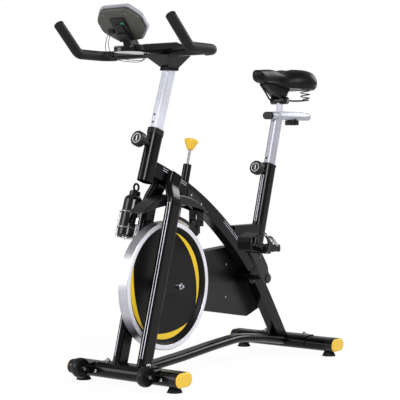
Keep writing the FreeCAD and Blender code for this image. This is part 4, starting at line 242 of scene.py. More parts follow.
def make_finishes():
    """Every finish of the bike by its name."""
    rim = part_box("flywheel_rim")
    coat = moulded_or_coated
    return {
        # gloss polyester powder on steel: slight orange peel, clear highlights
        "frame_black": coat("gloss_black_powder_coat", "08080a", "050506", 0.20, 1.6, 0.03,
                            ior=1.27, rough_spread=0.05),
        # silver powder on steel, smoother than the black
        "post_blue": coat("silver_powder_coat", "c6c7d1", "b9bbc7", 0.48, 1.2, 0.03,
                          metallic=0.12),
        # seat rail and seat post: the same silver, duller and deeper
        "rail_silver": coat("satin_silver_coat", "a6a7b0", "999aa4", 0.40, 1.2, 0.03,
                            metallic=0.3),
        # yellow polypropylene, moulded with a light sheen
        "yellow_plastic": coat("yellow_polypropylene", "dcb53a", "d2a92e", 0.40, 1.8, 0.04,
                               ior=1.4),
        # end caps: yellow flange, its collar black like the tube it closes
        "cap_plastic": coat("collared_cap_plastic", "0b0b0d", "070708", 0.36, 1.8, 0.03,
                            ior=1.38, band=((0, 0, 0), (0, 1, 0), -0.2445, 0.2445, "dbb43c")),
        # black ABS with a spark-eroded grain
        "black_plastic": coat("grained_black_abs", "101012", "0a0a0c", 0.42, 1.0, 0.09, ior=1.33),
        # belt cover and fender: vacuum-formed ABS, faint grain, satin
        "guard_plastic": coat("satin_guard_abs", "121215", "0c0c0e", 0.34, 1.4, 0.05, ior=1.38),
        # natural rubber of the feet, matt and slightly dusty
        "foot_rubber": coat("moulded_foot_rubber", "191919", "0f0f0f", 0.72, 1.3, 0.1, ior=1.4),
        # zinc-plated fasteners, bright with dull patches
        "fastener_steel": coat("zinc_plated_steel", "c5c7cb", "989ba1", 0.28, 2.0, 0.02,
                               metallic=1.0, cloud_mm=9.0),
        # plain rolled thread of the brake rod, oiled and darker than zinc
        "rod_steel": coat("oiled_threaded_steel", "8b8d92", "63656a", 0.36, 1.2, 0.02,
                          metallic=1.0, cloud_mm=7.0),
        # cranks in dark satin enamel over forged steel
        "crank_steel": coat("dark_enamelled_steel", "161618", "0d0d0f", 0.26, 2.4, 0.05,
                            ior=1.4),
        # flywheel sides in black stove enamel over cast iron, faintly uneven
        "flywheel_black": coat("black_cast_iron_enamel", "0b0b0c", "070708", 0.38, 3.0, 0.06,
                               cloud_mm=90.0, ior=1.28),
        "flywheel_chrome": turned_chrome("turned_chrome_rim", middle_of(rim), rim[1][1] - 0.0007),
        # machined aluminium pulleys, dull and fine-lined
        "pulley_aluminium": coat("machined_aluminium", "b9bbbf", "9b9da2", 0.35, 1.0, 0.03,
                                 metallic=1.0),
        "belt_rubber": coat("ribbed_belt_rubber", "151515", "0c0c0c", 0.65, 1.5, 0.12, ior=1.4),
        # nylon toe baskets, slightly translucent to the eye, smooth
        "cage_plastic": coat("black_nylon", "161619", "0d0d0f", 0.36, 1.5, 0.06, ior=1.4),
        "brake_steel": coat("painted_brake_steel", "131315", "0b0b0d", 0.38, 1.8, 0.05, ior=1.38),
        "brake_felt": pressed_felt("pressed_wool_felt"),
        "grip_foam": cell_foam("closed_cell_grip_foam", "141416", "08080a", 1.5),
        # injection-moulded high-gloss ABS of the tray
        "tray_plastic": coat("high_gloss_abs", "0b0b0d", "070708", 0.12, 5.0, 0.01, ior=1.42,
                             rough_spread=0.04),
        # silver-painted ABS round the console
        "console_silver": coat("silver_painted_abs", "b4b6bd", "a3a6ae", 0.35, 1.1, 0.03,
                               metallic=0.4),
        # olive-grey back of the console; its seam and its neck are black
        "console_olive": coat("olive_grey_abs", "3d3e36", "31322b", 0.5, 1.2, 0.07,
                              band=(CONSOLE_CENTRE, CONSOLE_OUT, -0.0124, -0.0035, "0c0c0e")),
        "button_plastic": coat("pale_button_abs", "d2d4d8", "bfc1c6", 0.4, 1.5, 0.03),
        "lead_rubber": coat("lead_sleeve_pvc", "1b1b1d", "0f0f10", 0.45, 0.8, 0.03),
        # chromed spring wire
        "bottle_wire": coat("chromed_wire", "b9b8b6", "8f8e8c", 0.18, 3.0, 0.01, metallic=1.0,
                            cloud_mm=14.0, rough_spread=0.05),
        # blow-moulded bottle, glossy black with soft flow marks
        "bottle_plastic": coat("blow_moulded_black", "0f0f12", "09090b", 0.16, 6.0, 0.08,
                               ior=1.4, rough_spread=0.05),
        "saddle_cover": grained_leather("pebbled_saddle_leather", "0b0b0e", "050506", 1.6, 0.38),
        "saddle_steel": coat("black_painted_wire", "111113", "0a0a0b", 0.28, 2.0, 0.03,
                             ior=1.4),
        # piping cord of the saddle, smoother than its cover
        "piping": coat("smooth_piping_vinyl", "131315", "0a0a0c", 0.3, 1.0, 0.03, ior=1.4),
        # pale lines painted on the glossy black tubes as highlights of strip lamps
        "highlight_stripe_paint": coat("pale_painted_highlight_lines", "dfe0ea", "cfd1dc", 0.4, 1.5, 0.01),
        "green_print": coat("green_label_print", "1f9a56", "178048", 0.5, 0.8, 0.01),
        # yellow vinyl on the flywheel
        "decal_vinyl": coat("yellow_cut_vinyl", "e2bf26", "d8b41c", 0.38, 2.5, 0.02,
                            ior=1.4),
        "mark_print": coat("pale_pad_print", "d9dbe0", "c3c5cc", 0.5, 0.8, 0.02),
        "amber_reflector": ribbed_reflector("amber_prism_reflector", "e08a1e", "8e4a08"),
        # liquid-crystal panel, dull grey-green under a smooth window
        "display_panel": coat("grey_green_display", "9aa393", "8d9687", 0.2, 4.0, 0.01,
                              coat=1.0),
        "display_mark": coat("dark_display_segment", "2c3230", "232826", 0.3, 4.0, 0.01),
    }


FINISHES = {}


def paint(piece, finish):
    """Give a piece one finish, in all its slots."""
    piece.data.materials.clear()
    piece.data.materials.append(FINISHES[finish])


# ----------------------------------------------------------- modelling helpers

def clear_selection():
    """Nothing selected and object mode."""
    if bpy.context.object and bpy.context.object.mode != "OBJECT":
        bpy.ops.object.mode_set(mode="OBJECT")
    bpy.ops.object.select_all(action="DESELECT")


def only(piece):
    """Select one piece and make it active."""
    clear_selection()
    piece.select_set(True)
    bpy.context.view_layer.objects.active = piece


def settle(piece, name, finish, body, slot):
    """Name a piece, put its place into its mesh, paint it and let it ride."""
    only(piece)
    if piece.type != "MESH":
        bpy.ops.object.convert(target="MESH")
        piece = bpy.context.object
    bpy.ops.object.transform_apply(location=True, rotation=True, scale=True)
    piece.name = name
    piece.data.name = name
    paint(piece, finish)
    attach(piece, body)
    return piece


def apply_modifier(piece, kind, **settings):
    """Add a modifier with its settings and apply it."""
    only(piece)
    modifier = piece.modifiers.new(kind.lower(), kind)
    for key, value in settings.items():
        setattr(modifier, key, value)
    bpy.ops.object.modifier_apply(modifier=modifier.name)


def smooth(piece, angle=35):
    """Smooth shading up to an angle between faces."""
    only(piece)
    bpy.ops.object.shade_smooth_by_angle(angle=math.radians(angle))


def block(size, location=(0, 0, 0), rotation=(0, 0, 0), bevel=0.001, segments=3):
    """Block with eased edges."""
    clear_selection()
    bpy.ops.mesh.primitive_cube_add(size=1, location=location, rotation=rotation)
    piece = bpy.context.object
    piece.scale = size
    bpy.ops.object.transform_apply(location=False, rotation=False, scale=True)
    apply_modifier(piece, "BEVEL", width=bevel, segments=segments)
    return piece


def drum(radius, depth, location=(0, 0, 0), rotation=(0, 0, 0), corners=32, bevel=0.0):
    """Cylinder, its edges eased where a bevel is given."""
    clear_selection()
    bpy.ops.mesh.primitive_cylinder_add(vertices=corners, radius=radius, depth=depth,
                                        location=location, rotation=rotation)
    piece = bpy.context.object
    if bevel:
        apply_modifier(piece, "BEVEL", width=bevel, segments=2)
    return piece


def round_curve(name, points, radius, sides, steps, closed=False):
    """Round curve object drawn smoothly by its control points."""
    clear_selection()
    curve = bpy.data.curves.new(name, "CURVE")
    curve.dimensions = "3D"
    curve.bevel_depth = radius
    curve.bevel_resolution = sides
    curve.resolution_u = steps
    curve.use_fill_caps = True
    spline = curve.splines.new("NURBS")
    spline.points.add(len(points) - 1)
    for control, point in zip(spline.points, points):
        control.co = (*point, 1.0)
    spline.order_u = 3
    spline.use_cyclic_u = closed
    spline.use_endpoint_u = not closed
    piece = bpy.data.objects.new(name, curve)
    bpy.context.scene.collection.objects.link(piece)
    return piece


def wire(name, points, radius, finish, body, slot, closed=False, sides=4):
    """Round wire on a smooth curve through control points, as a mesh."""
    piece = settle(round_curve(name, points, radius, sides, 6, closed), name, finish, body, slot)
    smooth(piece, 60)


def middle_of(box):
    """Middle of a box that is given by two corners."""
    return Vector([(a + b) / 2 for a, b in zip(*box)])


def facing(direction):
    """Rotation that turns Z to a direction."""
    return Vector(direction).normalized().to_track_quat("Z", "Y").to_euler()


def surface(node, start, direction):
    """First point of a CAD node met from a start along a direction."""
    hit, point, _, _ = NODES[node].ray_cast(Vector(start), Vector(direction).normalized())
    if not hit:
        raise RuntimeError(f"no surface of {node} from {tuple(start)}")
    return point


def ahead(degrees):
    """Unit vector in the XZ plane, turned up from X by an angle."""
    angle = math.radians(degrees)
    return Vector((math.cos(angle), 0, math.sin(angle)))


# ------------------------------------------------------------------- settings

class StageSettings(bpy.types.PropertyGroup):
    """Camera, lamps and floor."""
    eye: FloatVectorProperty(name="Eye", description="Place of the camera", size=3,
                             default=(3.7625, 2.8205, 0.7930))
    yaw: FloatProperty(name="Yaw", description="Camera to the bike's left, degrees",
                       default=37.566)
    pitch: FloatProperty(name="Pitch", description="Camera looks down, degrees", default=2.057)
    lens: FloatProperty(name="Lens", description="Focal length in millimetres", default=113.3)
    sun: FloatProperty(name="Key lamp", description="Power of the key lamp in watts", default=170.0)
    fill: FloatProperty(name="Fill lamp", description="Power of the fill lamp", default=80.0)
    floor: FloatVectorProperty(name="Floor", description="Colour of the floor", size=3,
                               subtype="COLOR", default=(0.92, 0.92, 0.93))


class LeadSettings(bpy.types.PropertyGroup):
    """Sensor leads of the console."""
    diameter: FloatProperty(name="Diameter", description="Outer diameter of a lead",
                            default=0.0024, subtype="DISTANCE", unit="LENGTH")


class SaddleSettings(bpy.types.PropertyGroup):
    """Padded saddle and its wires."""
    voxel: FloatProperty(name="Voxel", description="Grid of the pad before it is blown up",
                         default=0.005, subtype="DISTANCE", unit="LENGTH")
    pressure: FloatProperty(name="Pressure", description="Pressure inside the cover", default=4.0)
    cap: FloatProperty(name="Cap", description="Most that a point of the cover may move",
                       default=0.004, subtype="DISTANCE", unit="LENGTH")
    shrink: FloatProperty(name="Shrink", description="Pad before it is blown up, by the solid",
                          default=0.975)
    dip: FloatProperty(name="Channel", description="Depth of the channel along the middle",
                       default=0.007, subtype="DISTANCE", unit="LENGTH")
    dip_place: FloatProperty(name="Channel place", description="Deepest, share of the length",
                             default=0.42)
    dip_reach: FloatProperty(name="Channel reach", description="Fall along, share of the length",
                             default=0.32)
    dip_width: FloatProperty(name="Channel width", description="Fall to each side",
                             default=0.014, subtype="DISTANCE", unit="LENGTH")
    nose: FloatProperty(name="Nose", description="How far the nose hangs", default=0.009,
                        subtype="DISTANCE", unit="LENGTH")
    skirt: FloatProperty(name="Skirt", description="How far the rear skirt hangs", default=0.008,
                         subtype="DISTANCE", unit="LENGTH")
    wire: FloatProperty(name="Wire", description="Diameter of a saddle wire", default=0.007,
                        subtype="DISTANCE", unit="LENGTH")
    spring_radius: FloatProperty(name="Spring", description="Radius of a coil spring",
                                 default=0.0175, subtype="DISTANCE", unit="LENGTH")
    spring_turns: FloatProperty(name="Turns", description="Turns of a coil spring", default=2.5)


class MarkSettings(bpy.types.PropertyGroup):
    """Painted highlight stripes, flywheel blades and knob marks."""
    # stripe width and gap size the pale lines painted as highlights of strip lamps on the tubes
    stripe_radius: FloatProperty(name="Stripe", description="Half the width of a pinstripe",
                                 default=0.0013, subtype="DISTANCE", unit="LENGTH")
    stripe_gap: FloatProperty(name="Gap", description="Middle of one stripe to the other",
                              default=0.0080, subtype="DISTANCE", unit="LENGTH")
    blade_radius: FloatProperty(name="Blade radius", description="Outer radius of the blades",
                                default=0.192, subtype="DISTANCE", unit="LENGTH")
    blade_depth: FloatProperty(name="Blade depth", description="Widest part of a blade",
                               default=0.021, subtype="DISTANCE", unit="LENGTH")
    blade_turns: FloatVectorProperty(name="Blades", description="Place of each blade, degrees",
                                     size=3, default=(150.0, 340.0, 262.0))
    blade_spans: FloatVectorProperty(name="Spans", description="Half of each blade's arc, degrees",
                                     size=3, default=(50.0, 38.0, 38.0))
    blade_lean: FloatProperty(name="Lean", description="Thick end against the tip, degrees",
                              default=6.0)


# --------------------------------------------------------------------- pieces

class SPIN_OT_stage(bpy.types.Operator):
    """Camera, pale floor, world and soft lamps"""
    bl_idname = "spin.stage"
    bl_label = "Stage"

    def execute(self, context):
        settings = context.scene.spin_stage
        context.scene.view_settings.view_transform = "Standard"
        yaw, pitch = math.radians(settings.yaw), math.radians(settings.pitch)
        sight = Vector((-math.cos(yaw) * math.cos(pitch), -math.sin(yaw) * math.cos(pitch),
                        -math.sin(pitch)))
        clear_selection()
        bpy.ops.object.camera_add(location=settings.eye,
                                  rotation=sight.to_track_quat("-Z", "Y").to_euler())
        camera = context.object
        camera.name = "viewpoint"
        camera.data.lens = settings.lens
        camera.data.sensor_width = 36.0
        camera.data.clip_end = 100.0
        context.scene.camera = camera

        clear_selection()
        bpy.ops.mesh.primitive_plane_add(size=60, location=(0, 0, -0.0005))
        floor = context.object
        floor.name = "floor"
        material, tree, place = blank_material("pale_studio_floor")
        ray = add_node(tree, "ShaderNodeLightPath")
        matt = add_node(tree, "ShaderNodeBsdfDiffuse", {"Color": (*settings.floor, 1.0)})
        glow = add_node(tree, "ShaderNodeEmission", {"Color": (1, 1, 1, 1), "Strength": 1.0})
        seen = figure(tree, "MAXIMUM", ray.outputs["Is Camera Ray"], ray.outputs["Is Glossy Ray"])
        away = add_node(tree, "ShaderNodeVectorMath", {0: place}, operation="LENGTH")
        fade = ranged(tree, away.outputs["Value"], 0.7, 1.6, 0.95, 1.0,
                      interpolation_type="SMOOTHSTEP")
        shade(tree, "ShaderNodeMixShader", {0: figure(tree, "MULTIPLY", seen, fade),
                                            1: matt.outputs[0], 2: glow.outputs[0]})
        floor.data.materials.append(material)

        world = bpy.data.worlds.new("studio")
        context.scene.world = world
        world.use_nodes = True
        tree = world.node_tree
        tree.nodes.clear()
        ray = add_node(tree, "ShaderNodeLightPath")
        seen = figure(tree, "MAXIMUM", ray.outputs["Is Camera Ray"],
                      ray.outputs["Is Transmission Ray"])
        shade(tree, "ShaderNodeBackground",
              {"Color": (1, 1, 1, 1), "Strength": ranged(tree, seen, 0.0, 1.0, 0.40, 1.0)},
              "ShaderNodeOutputWorld")

        for name, place, size, power in (
                ("key_lamp", (2.6, 3.4, 3.0), 1.6, settings.sun),
                ("fill_lamp", (3.4, -2.4, 1.8), 2.2, settings.fill),
                ("back_lamp", (-3.0, 1.2, 2.6), 1.8, settings.fill)):
            clear_selection()
            aim = (Vector((0, 0, 0.6)) - Vector(place)).to_track_quat("-Z", "Y").to_euler()
            bpy.ops.object.light_add(type="AREA", location=place, rotation=aim)
            lamp = context.object
            lamp.name = name
            lamp.data.size = size
            lamp.data.energy = power
        return {"FINISHED"}


LEAD_ROUTES = {
    "sensor_lead_a": [(512, -58, 1211), (520, -58, 1203.8), (526, -59, 1190), (528, -61, 1174),
                      (527, -64, 1158), (521, -66, 1143), (509, -66, 1131), (490, -62, 1123),
                      (464, -54, 1118), (434, -44, 1115), (402, -30, 1114), (376, -20, 1120),
                      (372, -20, 1138)],
    "sensor_lead_b": [(512, -46, 1211), (519.5, -46, 1204.2), (525, -48, 1191), (526, -51, 1175),
                      (522, -54, 1159), (512, -56, 1145), (495, -56, 1134), (472, -52, 1127),
                      (446, -44, 1122), (422, -31, 1120), (400, -17, 1120), (380, -8, 1124),
                      (376, -8, 1138)],
}
MIDDLE = 0.015          # the stand's middle lies this far behind the part's origin


class SPIN_OT_leads(bpy.types.Operator):
    """Two thin sensor leads that hang from the console to the tray"""
    bl_idname = "spin.leads"
    bl_label = "Sensor leads"

    def execute(self, context):
        thick = context.scene.spin_leads.diameter
        for name, route in LEAD_ROUTES.items():
            points = [Vector((x * MM + MIDDLE, y * MM, z * MM)) for x, y, z in route]
            lead = round_curve(name + "_sleeve", points, thick / 2, 3, 8)
            lead.data.materials.append(FINISHES["lead_rubber"])
            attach(lead, "handlebar")
            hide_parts(name)
        return {"FINISHED"}


OTHER_FINISHES = {"saddle_carriage": "post_blue", "brake_rod": "rod_steel",
                  "end_caps": "cap_plastic", "seat_post": "rail_silver",
                  "slider_rail": "rail_silver"}


class SPIN_OT_frame_finishes(bpy.types.Operator):
    """Finish of every rigid piece"""
    bl_idname = "spin.frame_finishes"
    bl_label = "Rigid finishes"

    def execute(self, context):
        for part in frame["record"]["subparts"]:
            node = NODES[part["node"]]
            finish = FINISHES[OTHER_FINISHES.get(part["node"], part["material_slot"])]
            if node.data.materials:
                for place in node.material_slots:
                    place.material = finish
            else:
                node.data.materials.append(finish)
        return {"FINISHED"}


def saddle_blank(settings):
    """Closed, slightly smaller copy of the saddle's solid on an even grid."""
    source = NODES["saddle"]
    mesh = source.data.copy()
    pad = bpy.data.objects.new("saddle_pad", mesh)
    bpy.context.scene.collection.objects.link(pad)
    only(pad)
    bpy.ops.object.mode_set(mode="EDIT")
    bpy.ops.mesh.select_all(action="SELECT")
    bpy.ops.mesh.remove_doubles(threshold=1e-5)
    bpy.ops.object.mode_set(mode="OBJECT")
    low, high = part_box("saddle")
    middle = Vector(((low[0] + high[0]) / 2, 0, low[2]))
    for vertex in mesh.vertices:
        vertex.co = middle + (vertex.co - middle) * settings.shrink
    apply_modifier(pad, "REMESH", mode="VOXEL", voxel_size=settings.voxel,
                   use_smooth_shade=True)
    return pad, low, high


def blow_up(pad, settings, floor_level):
    """Fill the pad with air for twenty frames, its underside held, and keep the result."""
    group = pad.vertex_groups.new(name="base")
    held = [v.index for v in pad.data.vertices if v.co.z < floor_level + 0.012]
    group.add(held, 1.0, "REPLACE")
    before = [v.co.copy() for v in pad.data.vertices]
    only(pad)
    bpy.ops.object.modifier_add(type="CLOTH")
    cloth = pad.modifiers[-1]
    cloth.settings.use_pressure = True
    cloth.settings.uniform_pressure_force = settings.pressure
    cloth.settings.effector_weights.gravity = 0.0
    cloth.settings.vertex_group_mass = "base"
    cloth.settings.quality = 5
    cloth.settings.tension_stiffness = 12
    cloth.settings.compression_stiffness = 12
    scene = bpy.context.scene
    cloth.point_cache.frame_start = 1
    cloth.point_cache.frame_end = 20
    for number in range(1, 21):
        scene.frame_set(number)
    graph = bpy.context.evaluated_depsgraph_get()
    after = [v.co.copy() for v in pad.evaluated_get(graph).data.vertices]
    pad.modifiers.remove(cloth)
    scene.frame_set(1)
    for vertex, old, new in zip(pad.data.vertices, before, after):
        step = new - old
        if step.length > settings.cap:
            step *= settings.cap / step.length
        vertex.co = old + step
    pad.vertex_groups.clear()


class SPIN_OT_saddle(bpy.types.Operator):
    """Padded saddle with its channel and piping"""
    bl_idname = "spin.saddle"
    bl_label = "Saddle"

    def execute(self, context):
        settings = context.scene.spin_saddle
        pad, low, high = saddle_blank(settings)
        blow_up(pad, settings, low[2])
        length = high[0] - low[0]
        for vertex in pad.data.vertices:
            share = (vertex.co.x - low[0]) / length
            rise = max(0.0, (vertex.co.z - low[2]) / (high[2] - low[2]))
            along = math.exp(-((share - settings.dip_place) / settings.dip_reach) ** 2)
            across = math.exp(-(vertex.co.y / settings.dip_width) ** 2)
            vertex.co.z -= settings.dip * along * across * rise ** 2
            nose = min(1.0, max(0.0, (share - 0.55) / 0.45))
            rear = min(1.0, max(0.0, (0.45 - share) / 0.35))
            vertex.co.z -= settings.nose * nose ** 1.5 + settings.skirt * rear * (1 - rise) ** 2
        apply_modifier(pad, "SMOOTH", factor=0.5, iterations=4)
        apply_modifier(pad, "SUBSURF", levels=1, render_levels=1)
        pad = settle(pad, "saddle_pad", "saddle_cover", "saddle_body", "saddle_cover")
        smooth(pad, 80)
        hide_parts("saddle")
        middle = Vector(((low[0] * 0.62 + high[0] * 0.38), 0, low[2] + 0.010))
        rim = []
        for step in range(72):
            turn = math.tau * step / 72
            out = Vector((math.cos(turn), math.sin(turn), 0))
            lift = 0.012 * max(0.0, math.cos(turn)) ** 2
            hit, point, _, _ = pad.ray_cast(middle + Vector((0, 0, lift)), out)
            if hit:
                rim.append(point - out * 0.0008)
        wire("saddle_piping", rim, 0.0019, "piping", "saddle_body", "saddle_cover", closed=True)
        return {"FINISHED"}


SADDLE_CLAMP = Vector((-0.426, 0, 1.009))
SPRING_STATION, SPRING_OFFSET = -0.530, 0.054
PAN_TOP, PAN_FRONT = 1.078, -0.308


class SPIN_OT_saddle_springs(bpy.types.Operator):
    """Clamp, wires and coil springs under the saddle"""
    bl_idname = "spin.saddle_springs"
    bl_label = "Saddle wires"

    def execute(self, context):
        settings = context.scene.spin_saddle
        clamp = SADDLE_CLAMP
        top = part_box("saddle")[0][2] - 0.001
        barrel = drum(0.0148, 0.074, clamp, ACROSS, 48)
        bpy.ops.object.mode_set(mode="EDIT")
        bpy.ops.mesh.select_all(action="DESELECT")
        grid = bmesh.from_edit_mesh(barrel.data)
        for face in grid.faces:
            face.select_set(len(face.verts) > 8)
        bmesh.update_edit_mesh(barrel.data)
        bpy.ops.mesh.inset(thickness=0.003)
        bpy.ops.mesh.inset(thickness=0.0035, depth=-0.002)
        bpy.ops.object.mode_set(mode="OBJECT")
        apply_modifier(barrel, "BEVEL", width=0.0008, segments=2)
        barrel = settle(barrel, "saddle_clamp", "saddle_steel", "saddle_body", "saddle_steel")
        smooth(barrel)
        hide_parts("saddle_rails")
        nut = drum(0.0075, 0.0055, clamp + Vector((0, 0.0385, 0)), ACROSS, 6, 0.0007)
        settle(nut, "clamp_nut", "fastener_steel", "saddle_body", "fastener_steel")
        clear_selection()
        bpy.ops.mesh.primitive_cube_add(size=1)
        pan = context.object
        for vertex in pan.data.vertices:
            x, y, z = vertex.co
            reach = 0.5 + x
            rear = -0.470 if z > 0 else -0.418
            vertex.co = (rear + (PAN_FRONT - rear) * reach, y * (0.076 - 0.048 * reach),
                         PAN_TOP if z > 0 else 1.019 + 0.046 * reach)
        apply_modifier(pan, "BEVEL", width=0.006, segments=4)
        pan = settle(pan, "saddle_pan", "black_plastic", "saddle_body", "black_plastic")
        smooth(pan)
        thick = settings.wire / 2
        for side, word in SIDES:
            seat = Vector((SPRING_STATION, side * SPRING_OFFSET, clamp.z))
            path = [(-0.304, side * 0.009, 1.068), (-0.335, side * 0.014, 1.050),
                    (-0.364, side * 0.022, 1.035), (-0.387, side * 0.028, 1.021),
                    (-0.404, side * 0.030, 1.010), (-0.440, side * 0.030, 1.009),
                    (-0.478, side * 0.033, 1.008), (-0.503, side * 0.045, 1.009),
                    (-0.520, side * 0.056, 1.011), (-0.538, side * 0.062, 1.013),
                    (-0.545, side * 0.054, 1.014)]
            wire(f"{word}_saddle_wire", path, thick, "saddle_steel", "saddle_body",
                 "saddle_steel", sides=6)
            radius = settings.spring_radius
            base, rise = seat.z + 0.007, top - seat.z - 0.010
            coil = []
            steps = round(settings.spring_turns * 12)
            for step in range(steps + 1):
                turn = math.tau * step / 12
                share = step / steps
                swell = radius * (1.0 + 0.08 * math.sin(math.pi * share))
                coil.append((seat.x + swell * math.cos(turn), seat.y + swell * math.sin(turn),
                             base + rise * share))
            wire(f"{word}_saddle_spring", coil, 0.0021, "saddle_steel", "saddle_body",
                 "saddle_steel", sides=4)
            cup = settle(drum(0.0155, 0.004, (seat.x, seat.y, seat.z + 0.003), bevel=0.001),
                         f"{word}_spring_cup", "saddle_steel", "saddle_body", "saddle_steel")
            smooth(cup)
        return {"FINISHED"}


BEAM_CENTRE = Vector((0.8361, 0, -0.5927))      # of the beam's upper edge, an arc
BEAM_RADIUS = 1.4389
BEAM_RUNS = ((110.6, 116.4), (127.2, 134.0))    # degrees about that centre


def stripe_pair(name, rows, context, share=1.0):
    """Two fine pale lines side by side, painted highlights on a glossy tube; rows give both points
    at each level.
    """
    radius = context.scene.spin_marks.stripe_radius * share
    for word, index in (("a", 0), ("b", 1)):
        wire(f"{name}_{word}", [row[index] for row in rows], radius, "highlight_stripe_paint", "stand",
             "frame_black", sides=2)


class SPIN_OT_highlight_stripes(bpy.types.Operator):
    """Twin pale lines on the legs, the seat tube and the beam: painted highlights of strip lamps on
    the glossy black tubes
    """
    bl_idname = "spin.stripes"
    bl_label = "Highlight stripes"

    def execute(self, context):
        gap = context.scene.spin_marks.stripe_gap
        sink = Vector((0.0006, 0, 0))
        for side, word in SIDES:
            node = f"{word}_fork_leg"
            rows = []
            for step in range(25):
                z = 0.098 + step * 0.0221
                x = 0.479 - math.tan(math.radians(LEG_LEAN)) * (z - 0.079)
                outer = surface(node, (x, side * 0.2, z), (0, -side, 0))
                inner = surface(node, (x, side * 0.001, z), (0, side, 0))
                middle = (outer.y + inner.y) / 2
                rows.append([surface(node, (x + 0.2, middle + side * shift, z), (-1, 0, 0)) - sink
                             for shift in (0.001, 0.001 + gap)])
            stripe_pair(f"{word}_leg_stripe", rows, context)
        rows = []
        for step in range(9):
            z = 0.535 + step * 0.0225
            rows.append([surface("seat_tube", (0.2, y, z), (-1, 0, 0)) - sink
                         for y in (-gap / 2, gap / 2)])
        stripe_pair("seat_tube_highlight_stripe", rows, context)
        for side, word in SIDES:
            for number, (start, end) in enumerate(BEAM_RUNS):
                rows = []
                for step in range(13):
                    out = ahead(start + (end - start) * step / 12)
                    rows.append([surface("main_beam", BEAM_CENTRE + out * (BEAM_RADIUS - drop)
                                         + Vector((0, side * 0.2, 0)), (0, -side, 0))
                                 - Vector((0, side * 0.0006, 0)) for drop in (0.008, 0.016)])
                stripe_pair(f"{word}_beam_stripe_{number + 1}", rows, context, 0.75)
        return {"FINISHED"}


class SPIN_OT_blades(bpy.types.Operator):
    """Plain yellow crescent blades on both sides of the flywheel"""
    bl_idname = "spin.blades"
    bl_label = "Flywheel blades"

    def execute(self, context):
        settings = context.scene.spin_marks
        axle = middle_of(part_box("flywheel_rim"))
        outer = settings.blade_radius
        inner_edge = outer - settings.blade_depth
        for side, word in SIDES:
            face = surface("flywheel_disc", (axle.x, side * 0.3, axle.z + 0.15), (0, -side, 0)).y
            for index, (place, span) in enumerate(zip(settings.blade_turns,
                                                      settings.blade_spans)):
                # a larger circle, set back, leaves a crescent between its edge and the outer one
                corner = outer * math.cos(math.radians(span))
                shift = (outer ** 2 - inner_edge ** 2) / (2 * (inner_edge - corner))
                back = ahead(place + settings.blade_lean) * -shift
                blade = drum(outer, 0.0006, (axle.x, face + side * 0.0002, axle.z), ACROSS, 160)
                cutter = drum(shift + inner_edge, 0.02, (axle.x + back.x, face, axle.z + back.z),
                              ACROSS, 256)
                apply_modifier(blade, "BOOLEAN", operation="DIFFERENCE", object=cutter,
                               solver="EXACT")
                bpy.data.objects.remove(cutter)
                settle(blade, f"{word}_blade_{index + 1}", "decal_vinyl", "flywheel",
                       "yellow_plastic")
        return {"FINISHED"}


class SPIN_OT_knob_marks(bpy.types.Operator):
    """Pale ring and bar printed on each pin knob"""
    bl_idname = "spin.knob_marks"
    bl_label = "Knob marks"

    def execute(self, context):
        for word, lean in (("head", HEAD_LEAN), ("seat", SEAT_LEAN)):
            front = ahead(lean)
            mesh = NODES[f"{word}_pin"].data
            reach = max(v.co.dot(front) for v in mesh.vertices)
            far = [v.co for v in mesh.vertices if v.co.dot(front) > reach - 0.012]
            centre = middle_of([[side(c[k] for c in far) for k in range(3)]
                                for side in (min, max)])
            centre += front * (reach - centre.dot(front))
            face = surface(f"{word}_pin", centre + front * 0.05, -front)
            clear_selection()
            bpy.ops.mesh.primitive_torus_add(major_radius=0.0165, minor_radius=0.0012,
                                             major_segments=64, minor_segments=10,
                                             location=centre - front * 0.0006,
                                             rotation=facing(front))
            ring = settle(context.object, f"{word}_knob_ring", "mark_print",
                          f"{word}_pin_body", "button_plastic")
            smooth(ring, 80)
            bar = block((0.0045, 0.019, 0.0012), face, facing(front), 0.0005)
            settle(bar, f"{word}_knob_bar", "mark_print", f"{word}_pin_body", "button_plastic")
        return {"FINISHED"}


class SPIN_OT_display(bpy.types.Operator):
    """Display panel with a few plain segments, and what is screwed to the console's back"""
    bl_idname = "spin.display"
    bl_label = "Console details"

    def execute(self, context):
        place = Matrix((CONSOLE_UP, Vector((0, 1, 0)), CONSOLE_OUT)).transposed().to_4x4()
        place.translation = CONSOLE_CENTRE

        def plate(name, x, y, length, width, level, thick, finish, edge=0.0008, slot=None):
            """Rounded plate on the console, its length up the face."""
            piece = block((length, width, thick), bevel=min(thick * 0.4, edge))
            piece.matrix_world = place @ Matrix.Translation((x, y, level))
            piece = settle(piece, name, finish, "handlebar", slot or "console_silver")
            smooth(piece)

        plate("display_panel", 0.027, 0, 0.0445, 0.1025, 0.0152, 0.0008, "display_panel")
        for row, level in enumerate((0.040, 0.027, 0.014)):
            for column in range(4):
                wide = 0.012 if (row + column) % 2 else 0.016
                plate(f"display_segment_{row}_{column}", level, -0.036 + column * 0.024, 0.0055,
                      wide, 0.0157, 0.0003, "display_mark")
        # behind: bracket of the neck, plug of the leads, a label and four screws
        plate("console_bracket", -0.012, 0, 0.086, 0.062, -0.0155, 0.009, "black_plastic", 0.003,
              "black_plastic")
        plate("bracket_rib", -0.020, 0, 0.060, 0.034, -0.0220, 0.006, "black_plastic", 0.002,
              "black_plastic")
        plate("green_label", 0.012, 0.018, 0.006, 0.011, -0.0202, 0.0006, "green_print", 0.0004,
              "button_plastic")
        plate("lead_plug", -0.020, -0.052, 0.016, 0.026, -0.0150, 0.006, "black_plastic", 0.0015,
              "black_plastic")
        for number, (x, y) in enumerate(((0.045, 0.050), (0.045, -0.050), (-0.038, 0.066),
                                         (-0.038, -0.072))):
            screw = drum(0.0034, 0.0012, corners=24)
            screw.matrix_world = place @ Matrix.Translation((x, y, -0.0124))
            settle(screw, f"console_screw_{number + 1}", "rod_steel", "handlebar",
                   "fastener_steel")
        return {"FINISHED"}


